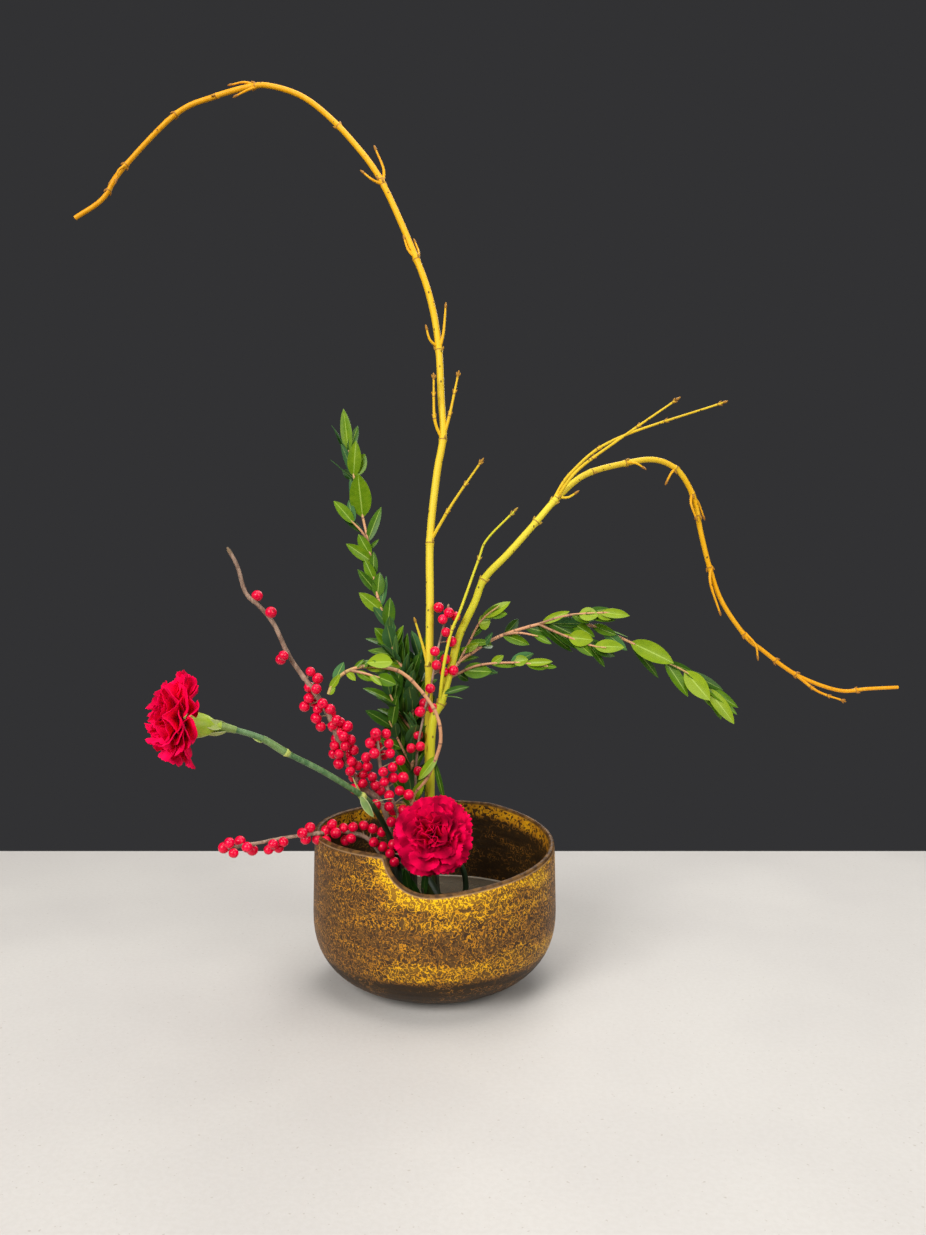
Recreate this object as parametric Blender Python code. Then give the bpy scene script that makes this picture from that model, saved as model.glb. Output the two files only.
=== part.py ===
"""Ikebana arrangement in a notched stoneware bowl.

Two yellow-twig dogwood branches, three myrtle stems, four winterberry stems and
two carnations stand on a pin holder in the water of a turned bowl. The origin is
the centre of the bowl's foot, +Z is up and the bowl's notch faces -Y.
"""

import math
import random

import bmesh
import bpy
from mathutils import Matrix, Vector

# ---------------------------------------------------------------- dimensions

GAP = 0.0003

BOWL_RADIUS = 0.1105
RIM_RADIUS = 0.1090
BOWL_HEIGHT = 0.140
FOOT_RADIUS = 0.044
BELLY_HEIGHT = 0.066
WALL = 0.007
FLOOR = 0.009
INNER_FLOOR_RADIUS = 0.052
WATER_LEVEL = 0.063
RIM_EDGE = 0.001
BOWL_SEGMENTS = 40
CURVE_STEPS = 6

NOTCH_LOW = 0.109
NOTCH_MIDDLE = math.radians(-90)
NOTCH_STEP = math.radians(20)
NOTCH_SWEEP = math.radians(150)

KENZAN_CENTRE = Vector((-0.006, -0.002, 0.0))
KENZAN_RADIUS = 0.041
KENZAN_BASE = 0.009
PIN_HEIGHT = 0.013
PIN_RADIUS = 0.0009
PIN_SPACING = 0.0110
PIN_ROOT = 0.001
PIN_MARGIN = 0.004
STEM_FOOT = FLOOR + GAP + KENZAN_BASE + GAP

UPRIGHT_FOOT = 0.010
STEM_STEP = 0.024
BRANCH_STEP = 0.032
TWIG_STEP = 0.040
ROOM_STEP = 0.004
HOLE_SIDES = 6
HOLE_TOP = 0.12
CLEARANCE = 0.0008
DOGWOOD_TWIG = (0.0018, 0.0010)
MYRTLE_TWIG = (0.0014, 0.0010)

BERRY_RADIUS = 0.0044
LEAF_THICKNESS = 0.0007
LEAF_ROOT = 0.0012
LEAF_FLAT = 0.7
LEAF_ARCH = 0.10
BLADE_ARCH = 0.25
TO_LIGHT = Vector((0.0, -0.9, 0.5))

CALYX_LENGTH = 0.027
CALYX_FOOT_RADIUS = 0.0042
CALYX_MOUTH_RADIUS = 0.0115
CORE_RADIUS = 0.0075
CORE_TIP_RADIUS = 0.0055
CORE_LENGTH = 0.013
PETAL_THICKNESS = 0.0008
PETAL_ROOT = 0.0030
# Petals in a layer, their lean from the axis in degrees, their share of the
# bloom's radius, half their fan in radians, how far up the axis they start and
# how much they curl forward, or back where it is negative.
PETAL_LAYERS = (
    (8, 89, 1.00, 0.37, 0.003, -0.24),
    (7, 63, 0.92, 0.41, 0.004, -0.05),
    (5, 37, 0.75, 0.52, 0.005, 0.08),
    (3, 9, 0.62, 0.50, 0.005, 0.12),
)

# ---------------------------------------------------------------- routes
# Every stem runs from its foot on the pin holder through these points.

TALL_DOGWOOD = [
    (-0.005, 0.013, STEM_FOOT), (-0.006, 0.013, 0.160), (-0.006, 0.015, 0.250),
    (-0.005, 0.019, 0.340), (-0.005, 0.026, 0.403), (0.001, 0.034, 0.463),
    (0.007, 0.042, 0.501), (0.005, 0.050, 0.536), (0.002, 0.062, 0.591),
    (-0.006, 0.074, 0.637), (-0.021, 0.086, 0.682), (-0.056, 0.108, 0.764),
    (-0.087, 0.122, 0.810), (-0.117, 0.134, 0.844), (-0.143, 0.142, 0.865),
    (-0.173, 0.150, 0.878), (-0.195, 0.156, 0.881), (-0.237, 0.166, 0.875),
    (-0.281, 0.174, 0.860), (-0.341, 0.184, 0.807), (-0.364, 0.188, 0.777),
    (-0.395, 0.190, 0.757),
]
TALL_DOGWOOD_TWIGS = [
    [(-0.007, 0.015, 0.285), (-0.011, 0.014, 0.302), (-0.018, 0.009, 0.326)],
    [(-0.005, 0.026, 0.400), (0.016, 0.018, 0.435), (0.042, 0.010, 0.472)],
    [(0.006, 0.041, 0.497), (-0.001, 0.039, 0.516), (-0.002, 0.040, 0.555)],
    [(0.007, 0.042, 0.499), (0.013, 0.042, 0.520), (0.021, 0.044, 0.558)],
    [(0.003, 0.061, 0.586), (0.007, 0.060, 0.602), (0.009, 0.060, 0.626)],
    [(0.002, 0.061, 0.588), (-0.006, 0.057, 0.594), (-0.009, 0.056, 0.604)],
    [(-0.020, 0.085, 0.680), (-0.028, 0.085, 0.688), (-0.032, 0.088, 0.700)],
    [(-0.019, 0.085, 0.678), (-0.018, 0.092, 0.688), (-0.022, 0.097, 0.700)],
    [(-0.055, 0.107, 0.761), (-0.054, 0.112, 0.777), (-0.062, 0.112, 0.797)],
    [(-0.054, 0.107, 0.760), (-0.064, 0.100, 0.762), (-0.073, 0.100, 0.769)],
    [(-0.190, 0.155, 0.881), (-0.204, 0.160, 0.887), (-0.218, 0.163, 0.886)],
    [(-0.190, 0.155, 0.880), (-0.200, 0.151, 0.874), (-0.210, 0.151, 0.869)],
    [(-0.279, 0.174, 0.861), (-0.294, 0.182, 0.857), (-0.307, 0.185, 0.843)],
    [(-0.338, 0.184, 0.810), (-0.350, 0.190, 0.804), (-0.357, 0.192, 0.796)],
    [(-0.337, 0.183, 0.811), (-0.343, 0.176, 0.802), (-0.345, 0.175, 0.792)],
]
RIGHT_DOGWOOD = [
    (-0.003, -0.007, STEM_FOOT), (-0.004, -0.006, 0.171), (-0.002, -0.004, 0.234),
    (0.006, 0.001, 0.253), (0.0155, 0.010, 0.2875), (0.0225, 0.017, 0.3135),
    (0.0365, 0.026, 0.343), (0.046, 0.034, 0.366), (0.069, 0.044, 0.390),
    (0.095, 0.056, 0.419), (0.118, 0.066, 0.445), (0.146, 0.076, 0.468),
    (0.189, 0.090, 0.481), (0.218, 0.098, 0.485), (0.240, 0.104, 0.477),
    (0.253, 0.108, 0.462), (0.262, 0.112, 0.443), (0.2685, 0.116, 0.415),
    (0.279, 0.120, 0.378), (0.293, 0.124, 0.3425), (0.3185, 0.128, 0.307),
    (0.337, 0.131, 0.292), (0.376, 0.138, 0.265), (0.423, 0.146, 0.248),
    (0.456, 0.152, 0.249), (0.491, 0.158, 0.250),
]
RIGHT_DOGWOOD_TWIGS = [
    [(0.004, 0.000, 0.250), (0.008, -0.003, 0.285), (0.015, 0.002, 0.317),
     (0.023, 0.006, 0.336), (0.040, 0.018, 0.383), (0.048, 0.022, 0.402),
     (0.074, 0.030, 0.429)],
    [(0.116, 0.065, 0.443), (0.136, 0.058, 0.470), (0.175, 0.056, 0.499),
     (0.229, 0.050, 0.536)],
    [(0.112, 0.063, 0.440), (0.132, 0.072, 0.470), (0.175, 0.072, 0.502),
     (0.279, 0.070, 0.537)],
    [(0.118, 0.066, 0.445), (0.127, 0.060, 0.444), (0.134, 0.059, 0.448)],
    [(0.187, 0.089, 0.481), (0.196, 0.083, 0.480), (0.203, 0.083, 0.476)],
    [(0.240, 0.104, 0.477), (0.235, 0.101, 0.472), (0.231, 0.101, 0.464)],
    [(0.258, 0.110, 0.452), (0.256, 0.105, 0.442), (0.261, 0.105, 0.428)],
    [(0.259, 0.111, 0.450), (0.266, 0.117, 0.444), (0.272, 0.119, 0.430)],
    [(0.281, 0.120, 0.379), (0.279, 0.116, 0.362), (0.289, 0.117, 0.332)],
    [(0.318, 0.128, 0.310), (0.328, 0.123, 0.298), (0.330, 0.122, 0.286)],
    [(0.374, 0.138, 0.266), (0.398, 0.138, 0.248), (0.425, 0.140, 0.238)],
]
UPRIGHT_MYRTLE = [
    (-0.022, 0.014, STEM_FOOT), (-0.022, 0.014, 0.160), (-0.021, 0.017, 0.214),
    (-0.022, 0.020, 0.248), (-0.028, 0.024, 0.276), (-0.040, 0.028, 0.299),
    (-0.045, 0.032, 0.320), (-0.055, 0.038, 0.348), (-0.061, 0.044, 0.379),
    (-0.066, 0.050, 0.405), (-0.071, 0.054, 0.427), (-0.081, 0.062, 0.470),
    (-0.091, 0.071, 0.512),
]
UPRIGHT_MYRTLE_TWIGS = [
    [(-0.065, 0.049, 0.402), (-0.072, 0.047, 0.412), (-0.081, 0.046, 0.421)],
    [(-0.023, 0.020, 0.250), (-0.014, 0.030, 0.268), (-0.014, 0.040, 0.290)],
    [(-0.022, 0.018, 0.225), (-0.033, 0.016, 0.240), (-0.044, 0.016, 0.262)],
]
RIGHT_MYRTLE = [
    (0.005, 0.031, STEM_FOOT), (-0.004, 0.034, 0.160), (0.001, 0.035, 0.240),
    (0.016, 0.037, 0.279), (0.037, 0.042, 0.297), (0.062, 0.048, 0.311),
    (0.100, 0.056, 0.322), (0.126, 0.062, 0.324), (0.151, 0.068, 0.320),
    (0.173, 0.072, 0.311), (0.197, 0.076, 0.300), (0.227, 0.080, 0.283),
    (0.252, 0.084, 0.270), (0.280, 0.088, 0.246),
]
RIGHT_MYRTLE_TWIGS = [
    [(0.098, 0.056, 0.322), (0.129, 0.050, 0.331), (0.176, 0.044, 0.334)],
    [(0.098, 0.056, 0.322), (0.121, 0.050, 0.312), (0.148, 0.046, 0.302),
     (0.162, 0.042, 0.300)],
    [(0.064, 0.048, 0.312), (0.080, 0.043, 0.314), (0.097, 0.040, 0.311)],
    [(0.014, 0.036, 0.272), (0.040, 0.031, 0.284), (0.075, 0.027, 0.287),
     (0.105, 0.021, 0.284)],
    [(0.018, 0.037, 0.280), (0.030, 0.040, 0.302), (0.043, 0.042, 0.326),
     (0.060, 0.038, 0.340)],
]
LOOP_MYRTLE = [
    (-0.014, -0.016, STEM_FOOT), (-0.018, -0.017, 0.110), (-0.020, -0.018, 0.165),
    (-0.008, -0.022, 0.185), (0.001, -0.024, 0.204), (0.006, -0.026, 0.224),
    (0.002, -0.026, 0.246), (-0.013, -0.026, 0.268), (-0.031, -0.030, 0.284),
    (-0.058, -0.038, 0.289), (-0.075, -0.045, 0.285), (-0.086, -0.049, 0.276),
    (-0.090, -0.052, 0.266),
]
LOOP_MYRTLE_TWIGS = [
    [(-0.073, -0.044, 0.286), (-0.060, -0.049, 0.284), (-0.046, -0.050, 0.280)],
]
FRONT_MYRTLE = [
    (-0.008, -0.034, STEM_FOOT), (-0.014, -0.044, 0.068), (-0.022, -0.051, 0.098),
]
FRONT_MYRTLE_TWIGS = [
    [(-0.014, -0.044, 0.070), (-0.009, -0.050, 0.084), (-0.009, -0.054, 0.098)],
]
TALL_WINTERBERRY = [
    (-0.031, 0.001, STEM_FOOT), (-0.038, -0.005, 0.110), (-0.047, -0.010, 0.160),
    (-0.067, -0.016, 0.180), (-0.079, -0.022, 0.204), (-0.091, -0.028, 0.240),
    (-0.103, -0.032, 0.263), (-0.125, -0.038, 0.296), (-0.138, -0.044, 0.326),
    (-0.151, -0.048, 0.343), (-0.161, -0.050, 0.353), (-0.167, -0.054, 0.376),
    (-0.174, -0.056, 0.390),
]
LOW_WINTERBERRY = [
    (-0.036, -0.012, STEM_FOOT), (-0.042, -0.018, 0.095), (-0.055, -0.025, 0.130),
    (-0.078, -0.032, 0.1418), (-0.102, -0.040, 0.1423), (-0.125, -0.047, 0.141),
    (-0.151, -0.056, 0.138), (-0.178, -0.064, 0.135),
]
CENTRE_WINTERBERRY = [
    (-0.021, -0.026, STEM_FOOT), (-0.026, -0.030, 0.130), (-0.036, -0.034, 0.168),
    (-0.046, -0.038, 0.198), (-0.050, -0.040, 0.232),
]
INNER_WINTERBERRY = [
    (-0.019, 0.0005, STEM_FOOT), (-0.019, -0.001, 0.110), (-0.018, -0.003, 0.166),
    (-0.016, -0.003, 0.208), (-0.010, 0.000, 0.241), (-0.003, 0.003, 0.270),
    (0.002, 0.006, 0.298), (0.008, 0.010, 0.322), (0.012, 0.012, 0.340),
]
LEFT_CARNATION = [
    (-0.030, -0.030, STEM_FOOT), (-0.030, -0.020, 0.100), (-0.040, -0.024, 0.135),
    (-0.052, -0.041, 0.165), (-0.062, -0.054, 0.179), (-0.092, -0.072, 0.203), (-0.119, -0.088, 0.221),
    (-0.138, -0.098, 0.235), (-0.157, -0.106, 0.243), (-0.170, -0.111, 0.247),
]
LEFT_BLOOM_AXIS = Vector((-0.96, -0.26, 0.08)).normalized()
FRONT_CARNATION = [
    (0.020, -0.022, STEM_FOOT), (0.027, -0.031, 0.080), (0.028, -0.034, 0.098),
    (0.024, -0.037, 0.113), (0.012, -0.041, 0.126), (0.002, -0.044, 0.137),
]
FRONT_BLOOM_AXIS = Vector((-0.05, -0.90, 0.43)).normalized()
# Each blade on a carnation stem: its foot, heading, upper side, length, width.
LEFT_BLADES = [
    ((-0.059, -0.051, 0.175), (-0.45, -0.10, 0.85), (-0.8, 0.0, -0.4), 0.022, 0.005),
    ((-0.055, -0.046, 0.170), (0.75, -0.35, 0.30), (0.0, 0.0, 1.0), 0.026, 0.006),
    ((-0.120, -0.089, 0.222), (-0.95, -0.20, -0.10), (0.0, 0.0, 1.0), 0.014, 0.005),
]
FRONT_BLADES = [
    ((0.026, -0.030, 0.076), (-0.80, -0.30, 0.45), (0.3, -0.3, 0.9), 0.030, 0.006),
]

# Where berries sit: fraction of the route at which each bunch grows, and how
# many berries are in it.
TALL_BERRIES = [
    (0.35, 3), (0.40, 3), (0.45, 3), (0.50, 2), (0.54, 3), (0.58, 3), (0.62, 3),
    (0.66, 2), (0.75, 2), (0.83, 1), (0.87, 2),
]
LOW_BERRIES = [
    (0.46, 2), (0.51, 2), (0.56, 2), (0.61, 2), (0.67, 2), (0.72, 2), (0.77, 2),
    (0.83, 2), (0.90, 2), (0.985, 3),
]
CENTRE_BERRIES = [
    (0.46, 2), (0.53, 2), (0.60, 3), (0.67, 3), (0.74, 3), (0.81, 3), (0.88, 3),
    (0.95, 3),
]
INNER_BERRIES = [
    (0.52, 2), (0.59, 2), (0.66, 3), (0.72, 2), (0.79, 2), (0.85, 2), (0.91, 2),
    (0.98, 3),
]

# ---------------------------------------------------------------- scene helpers


def clear_scene():
    for obj in list(bpy.data.objects):
        bpy.data.objects.remove(obj)


def material(name, colour, roughness, metallic=0.0):
    made = bpy.data.materials.new(name)
    made.use_nodes = True
    shader = made.node_tree.nodes["Principled BSDF"]
    shader.inputs["Base Color"].default_value = (*colour, 1.0)
    shader.inputs["Roughness"].default_value = roughness
    shader.inputs["Metallic"].default_value = metallic
    return made


def object_from(bm, name):
    """Turns a finished bmesh into an object in the scene."""
    mesh = bpy.data.meshes.new(name)
    bm.to_mesh(mesh)
    bm.free()
    obj = bpy.data.objects.new(name, mesh)
    bpy.context.scene.collection.objects.link(obj)
    return obj


def finish(obj, finish_material, smooth_angle=50):
    obj.data.materials.clear()
    obj.data.materials.append(finish_material)
    obj.data.shade_smooth()
    obj.data.set_sharp_from_angle(angle=math.radians(smooth_angle))
    return obj


def boolean(body, others, operation, solver="EXACT"):
    """Joins or cuts body with all the others at once, and removes them."""
    group = bpy.data.collections.new("others")
    bpy.context.scene.collection.children.link(group)
    for other in others:
        bpy.context.scene.collection.objects.unlink(other)
        group.objects.link(other)
    modifier = body.modifiers.new("boolean", "BOOLEAN")
    modifier.operation = operation
    modifier.operand_type = "COLLECTION"
    modifier.collection = group
    modifier.solver = solver
    bpy.context.view_layer.update()
    evaluated = body.evaluated_get(bpy.context.evaluated_depsgraph_get())
    result = bpy.data.meshes.new_from_object(evaluated)
    body.modifiers.clear()
    body.data = result
    for other in list(group.objects):
        bpy.data.objects.remove(other)
    bpy.data.collections.remove(group)
    return body


# ---------------------------------------------------------------- curves


def smooth_path(points, spacing):
    """Points along a Catmull-Rom curve through the given ones, near this spacing."""
    knots = [Vector(point) for point in points]
    knots = [2 * knots[0] - knots[1]] + knots + [2 * knots[-1] - knots[-2]]
    path = []
    for before, start, end, after in zip(knots, knots[1:], knots[2:], knots[3:]):
        steps = max(1, round((end - start).length / spacing))
        for step in range(steps):
            t = step / steps
            path.append(0.5 * (
                2 * start
                + (end - before) * t
                + (2 * before - 5 * start + 4 * end - after) * t ** 2
                + (3 * start - before - 3 * end + after) * t ** 3
            ))
    path.append(knots[-2])
    return path


def stem_path(route, spacing):
    """A stem's path: it stands upright on the pins before it leans away."""
    foot = Vector(route[0])
    above = foot + Vector((0.0, 0.0, UPRIGHT_FOOT))
    return [foot] + smooth_path([above] + route[1:], spacing)


def along(path, fraction):
    """The place and direction at this fraction of the path's length."""
    lengths = [0.0]
    for a, b in zip(path, path[1:]):
        lengths.append(lengths[-1] + (b - a).length)
    wanted = fraction * lengths[-1]
    for index in range(1, len(path)):
        if lengths[index] >= wanted or index == len(path) - 1:
            run = lengths[index] - lengths[index - 1]
            share = min(1.0, (wanted - lengths[index - 1]) / run)
            step = path[index] - path[index - 1]
            return path[index - 1] + step * share, step.normalized()


def length_of(path):
    return sum((b - a).length for a, b in zip(path, path[1:]))


def tube(name, path, start_radius, end_radius, sides=8):
    """A tapering closed tube along the path."""
    curve = bpy.data.curves.new(name, "CURVE")
    curve.dimensions = "3D"
    curve.bevel_depth = 1.0
    curve.bevel_resolution = sides // 2 - 2
    curve.use_fill_caps = True
    spline = curve.splines.new("POLY")
    spline.points.add(len(path) - 1)
    for index, place in enumerate(path):
        share = index / (len(path) - 1)
        spline.points[index].co = (*place, 1.0)
        spline.points[index].radius = start_radius + (end_radius - start_radius) * share
    guide = bpy.data.objects.new(name, curve)
    bm = bmesh.new()
    bm.from_mesh(guide.to_mesh())
    bmesh.ops.remove_doubles(bm, verts=bm.verts, dist=1e-6)
    bmesh.ops.recalc_face_normals(bm, faces=bm.faces)
    bpy.data.objects.remove(guide)
    return object_from(bm, name)


def side_of(direction, turn):
    """A unit vector across the direction, turned about it."""
    across = direction.cross(Vector((0.0, 1.0, 0.0)))
    if across.length < 0.1:
        across = direction.cross(Vector((1.0, 0.0, 0.0)))
    return Matrix.Rotation(turn, 3, direction) @ across.normalized()


# ---------------------------------------------------------------- keeping clear

taken = []


def take(owner, places, radius, grown=False):
    """Notes the room that a stem fills, or a grown berry or leaf on it."""
    for place in places:
        taken.append((owner, place.copy(), radius, grown))


def is_clear(owner, places, radius, own_share):
    """True where the places stay out of the other plants.

    Berries and leaves of the same plant may come as near each other as own_share
    of their two radii.
    """
    for other, centre, other_radius, grown in taken:
        if other != owner:
            reach = radius + other_radius + CLEARANCE
        elif grown:
            reach = own_share * (radius + other_radius)
        else:
            continue
        if any((place - centre).length < reach for place in places):
            return False
    return True


# ---------------------------------------------------------------- bowl


def inner_curve(inset):
    """Radius and height up the inside of the bowl, from its floor to the water."""
    points = []
    for step in range(CURVE_STEPS + 1):
        turn = math.radians(90 * step / CURVE_STEPS)
        reach = BOWL_RADIUS - WALL - INNER_FLOOR_RADIUS
        radius = INNER_FLOOR_RADIUS + reach * math.sin(turn) ** 0.95 - inset
        height = FLOOR + (WATER_LEVEL - FLOOR) * (1 - abs(math.cos(turn)) ** 0.85)
        points.append((radius, height + inset * (1 - step / CURVE_STEPS)))
    return points


def outer_curve():
    """Radius and height up the outside, from the foot to the belly."""
    points = []
    for step in range(CURVE_STEPS + 1):
        turn = math.radians(90 * step / CURVE_STEPS)
        radius = FOOT_RADIUS + (BOWL_RADIUS - FOOT_RADIUS) * math.sin(turn) ** 0.95
        points.append((radius, BELLY_HEIGHT * (1 - abs(math.cos(turn)) ** 0.85)))
    return points


def turned(name, profile, segments):
    """Spins a profile of radius and height about the bowl's axis."""
    bm = bmesh.new()
    verts = [bm.verts.new((radius, 0.0, height)) for radius, height in profile]
    edges = [bm.edges.new(pair) for pair in zip(verts, verts[1:])]
    bmesh.ops.spin(
        bm, geom=verts + edges, cent=(0, 0, 0), axis=(0, 0, 1),
        angle=math.tau, steps=segments, use_merge=True,
    )
    bmesh.ops.remove_doubles(bm, verts=bm.verts, dist=1e-6)
    bmesh.ops.recalc_face_normals(bm, faces=bm.faces)
    return object_from(bm, name)


def notch_height(angle):
    """Height of the lip: a steep step on the left, a long rise to the right."""
    depth = BOWL_HEIGHT - NOTCH_LOW
    if angle < NOTCH_MIDDLE:
        share = min(1.0, (NOTCH_MIDDLE - angle) / NOTCH_STEP)
        return NOTCH_LOW + depth * (1 - math.sqrt(1 - share * share))
    share = min(1.0, (angle - NOTCH_MIDDLE) / NOTCH_SWEEP)
    return NOTCH_LOW + depth * 1.04 * share * share / (share + 0.04)


def notch_angle(share):
    """Angle round the bowl, with close steps where the lip is steep."""
    steep = 0.3
    if share < steep:
        return NOTCH_MIDDLE - NOTCH_STEP * math.cos(math.radians(90 * share / steep))
    return NOTCH_MIDDLE + NOTCH_SWEEP * (share - steep) / (1 - steep)


def notch_cutter():
    bm = bmesh.new()
    bmesh.ops.create_grid(bm, x_segments=26, y_segments=1, size=0.5)
    for vert in bm.verts:
        angle = notch_angle(vert.co.x + 0.5)
        radius = RIM_RADIUS + (WALL if vert.co.y > 0 else -3 * WALL)
        height = notch_height(angle)
        vert.co = (radius * math.cos(angle), radius * math.sin(angle), height)
    top = bmesh.ops.extrude_face_region(bm, geom=bm.faces[:])
    for item in top["geom"]:
        if isinstance(item, bmesh.types.BMVert):
            item.co.z = BOWL_HEIGHT + 0.02
    bmesh.ops.recalc_face_normals(bm, faces=bm.faces)
    return object_from(bm, "notch_cutter")


def make_bowl():
    profile = [(0.0, 0.0)] + outer_curve()
    profile += [(RIM_RADIUS, BOWL_HEIGHT - RIM_EDGE), (RIM_RADIUS - RIM_EDGE, BOWL_HEIGHT)]
    profile += [(RIM_RADIUS - WALL, BOWL_HEIGHT)]
    profile += list(reversed(inner_curve(0.0))) + [(0.0, FLOOR)]
    bowl = turned("bowl", profile, BOWL_SEGMENTS)
    boolean(bowl, [notch_cutter()], "DIFFERENCE")
    return finish(bowl, material("glaze", (0.30, 0.17, 0.03), 0.55), 40)


# ---------------------------------------------------------------- pin holder


def cone(name, centre, radius, top_radius, height, segments):
    bm = bmesh.new()
    bmesh.ops.create_cone(
        bm, cap_ends=True, segments=segments,
        radius1=radius, radius2=top_radius, depth=height,
    )
    bmesh.ops.translate(bm, verts=bm.verts, vec=centre + Vector((0, 0, height / 2)))
    return object_from(bm, name)


def pin_places(feet):
    """A hexagonal grid of pins that leaves room round each stem's foot."""
    places = []
    rows = int(KENZAN_RADIUS / PIN_SPACING) + 1
    for row in range(-rows, rows + 1):
        for column in range(-rows, rows + 1):
            x = (column + 0.5 * (row % 2)) * PIN_SPACING
            y = row * PIN_SPACING * math.sin(math.radians(60))
            place = KENZAN_CENTRE + Vector((x, y, 0.0))
            inside = math.hypot(x, y) < KENZAN_RADIUS - PIN_MARGIN
            free = all(
                (place - foot).xy.length > radius + PIN_RADIUS + GAP
                for foot, radius in feet
            )
            if inside and free:
                places.append(place)
    return places


def make_kenzan(feet):
    bottom = KENZAN_CENTRE + Vector((0, 0, FLOOR + GAP))
    base = cone("kenzan", bottom, KENZAN_RADIUS, KENZAN_RADIUS - 0.001, KENZAN_BASE, 32)
    top = Vector((0, 0, FLOOR + GAP + KENZAN_BASE - PIN_ROOT))
    pins = [
        cone("pin", place + top, PIN_RADIUS, PIN_RADIUS / 4, PIN_HEIGHT + PIN_ROOT, 3)
        for place in pin_places(feet)
    ]
    boolean(base, pins, "UNION")
    return finish(base, material("kenzan_metal", (0.45, 0.40, 0.30), 0.4, 1.0), 30)


def make_water(stems):
    """The water fills the bowl to its level, with plain holes for the stems."""
    profile = [(0.0, FLOOR + GAP)] + inner_curve(GAP) + [(0.0, WATER_LEVEL)]
    water = turned("water", profile, BOWL_SEGMENTS // 2)
    room = cone(
        "room", KENZAN_CENTRE + Vector((0, 0, -FLOOR)),
        KENZAN_RADIUS + GAP, KENZAN_RADIUS + GAP,
        2 * FLOOR + 2 * GAP + KENZAN_BASE + PIN_HEIGHT, 32,
    )
    boolean(water, [room] + stems, "DIFFERENCE")
    return finish(water, material("water", (0.55, 0.52, 0.47), 0.05), 30)


# ---------------------------------------------------------------- leaves


def thicken(bm, thickness):
    """Gives a flat blade its thickness, split into triangles alike on both faces."""
    bmesh.ops.remove_doubles(bm, verts=bm.verts, dist=1e-6)
    bmesh.ops.triangulate(bm, faces=bm.faces[:])
    bmesh.ops.recalc_face_normals(bm, faces=bm.faces)
    bmesh.ops.solidify(bm, geom=bm.faces[:], thickness=thickness)
    bmesh.ops.recalc_face_normals(bm, faces=bm.faces)


def pinch(bm, place):
    """Draws the blade's verts at this distance along it into one point."""
    ends = [vert for vert in bm.verts if abs(vert.co.x - place) < 0.0004]
    bmesh.ops.pointmerge(bm, verts=ends, merge_co=Vector((place, 0.0, 0.0)))


def leaf(base, direction, up, length, width, arch=LEAF_ARCH):
    """A pointed oval blade, arched along its length."""
    bm = bmesh.new()
    bmesh.ops.create_grid(bm, x_segments=3, y_segments=1, size=0.5)
    for vert in bm.verts:
        u = vert.co.x + 0.5
        half = 0.5 * width if 0.1 < u < 0.9 else 0.0
        side = 1 if vert.co.y > 0 else -1
        vert.co = (length * u, half * side, arch * length * (u - u * u))
    thicken(bm, LEAF_THICKNESS)
    pinch(bm, 0.0)
    pinch(bm, length)
    forward = direction.normalized()
    across = up.cross(forward).normalized()
    frame = Matrix((forward, across, forward.cross(across))).transposed().to_4x4()
    bmesh.ops.transform(bm, verts=bm.verts, matrix=Matrix.Translation(base) @ frame)
    bmesh.ops.recalc_face_normals(bm, faces=bm.faces)
    return object_from(bm, "leaf")


def leaf_plan(owner, path, start, end, spacing, length, rng):
    """Pairs of leaves, each pair turned a quarter from the last one."""
    plan = []
    whole = length_of(path)
    count = max(2, int((end - start) * whole / spacing))
    for pair in range(count):
        share = pair / (count - 1)
        place, direction = along(path, start + (end - start) * share)
        for side in (0, 1):
            size = length * rng.uniform(0.75, 1.15) * (1.0 - 0.35 * share)
            width = size * rng.uniform(0.36, 0.44)
            for attempt in range(8):
                turn = math.pi * (side + 0.5 * pair) + rng.uniform(-0.4, 0.4)
                lean = math.radians(rng.uniform(28, 50)) * (1.0 - 0.4 * share)
                out = side_of(direction, turn + 0.35 * attempt)
                heading = direction * math.cos(lean) + out * math.sin(lean)
                spots = [place + heading * size * part for part in (0.45, 0.75, 0.95)]
                if is_clear(owner, spots, width * 0.42, own_share=0.5):
                    take(owner, spots, width * 0.42, grown=True)
                    up = direction * math.sin(lean) - out * math.cos(lean)
                    up = up * LEAF_FLAT + TO_LIGHT
                    plan.append((place - heading * LEAF_ROOT, heading, up, size, width))
                    break
    return plan


# ---------------------------------------------------------------- plants


def make_dogwood(name, route, radii, twigs, bark):
    stem = tube(name, stem_path(route, BRANCH_STEP), *radii, 8)
    pieces = [tube("twig", smooth_path(twig, TWIG_STEP), *DOGWOOD_TWIG, 4) for twig in twigs]
    boolean(stem, pieces, "UNION")
    return finish(stem, bark)


def make_myrtle(name, route, radii, twigs, spans, foliage, seed):
    """spans: for each route, where leaves start and end, their spacing and length."""
    rng = random.Random(seed)
    stem = tube(name, stem_path(route, STEM_STEP), *radii, 6)
    pieces = [tube("twig", smooth_path(twig, STEM_STEP), *MYRTLE_TWIG, 4) for twig in twigs]
    for span, line in zip(spans, [route] + twigs):
        path = smooth_path(line, 2 * ROOM_STEP)
        for plan in leaf_plan(name, path, *span, rng):
            pieces.append(leaf(*plan))
    boolean(stem, pieces, "UNION", "MANIFOLD")
    return finish(stem, foliage, 30)


def berry(place):
    bm = bmesh.new()
    bmesh.ops.create_icosphere(bm, subdivisions=1, radius=BERRY_RADIUS)
    bmesh.ops.translate(bm, verts=bm.verts, vec=place)
    return object_from(bm, "berry")


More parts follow.
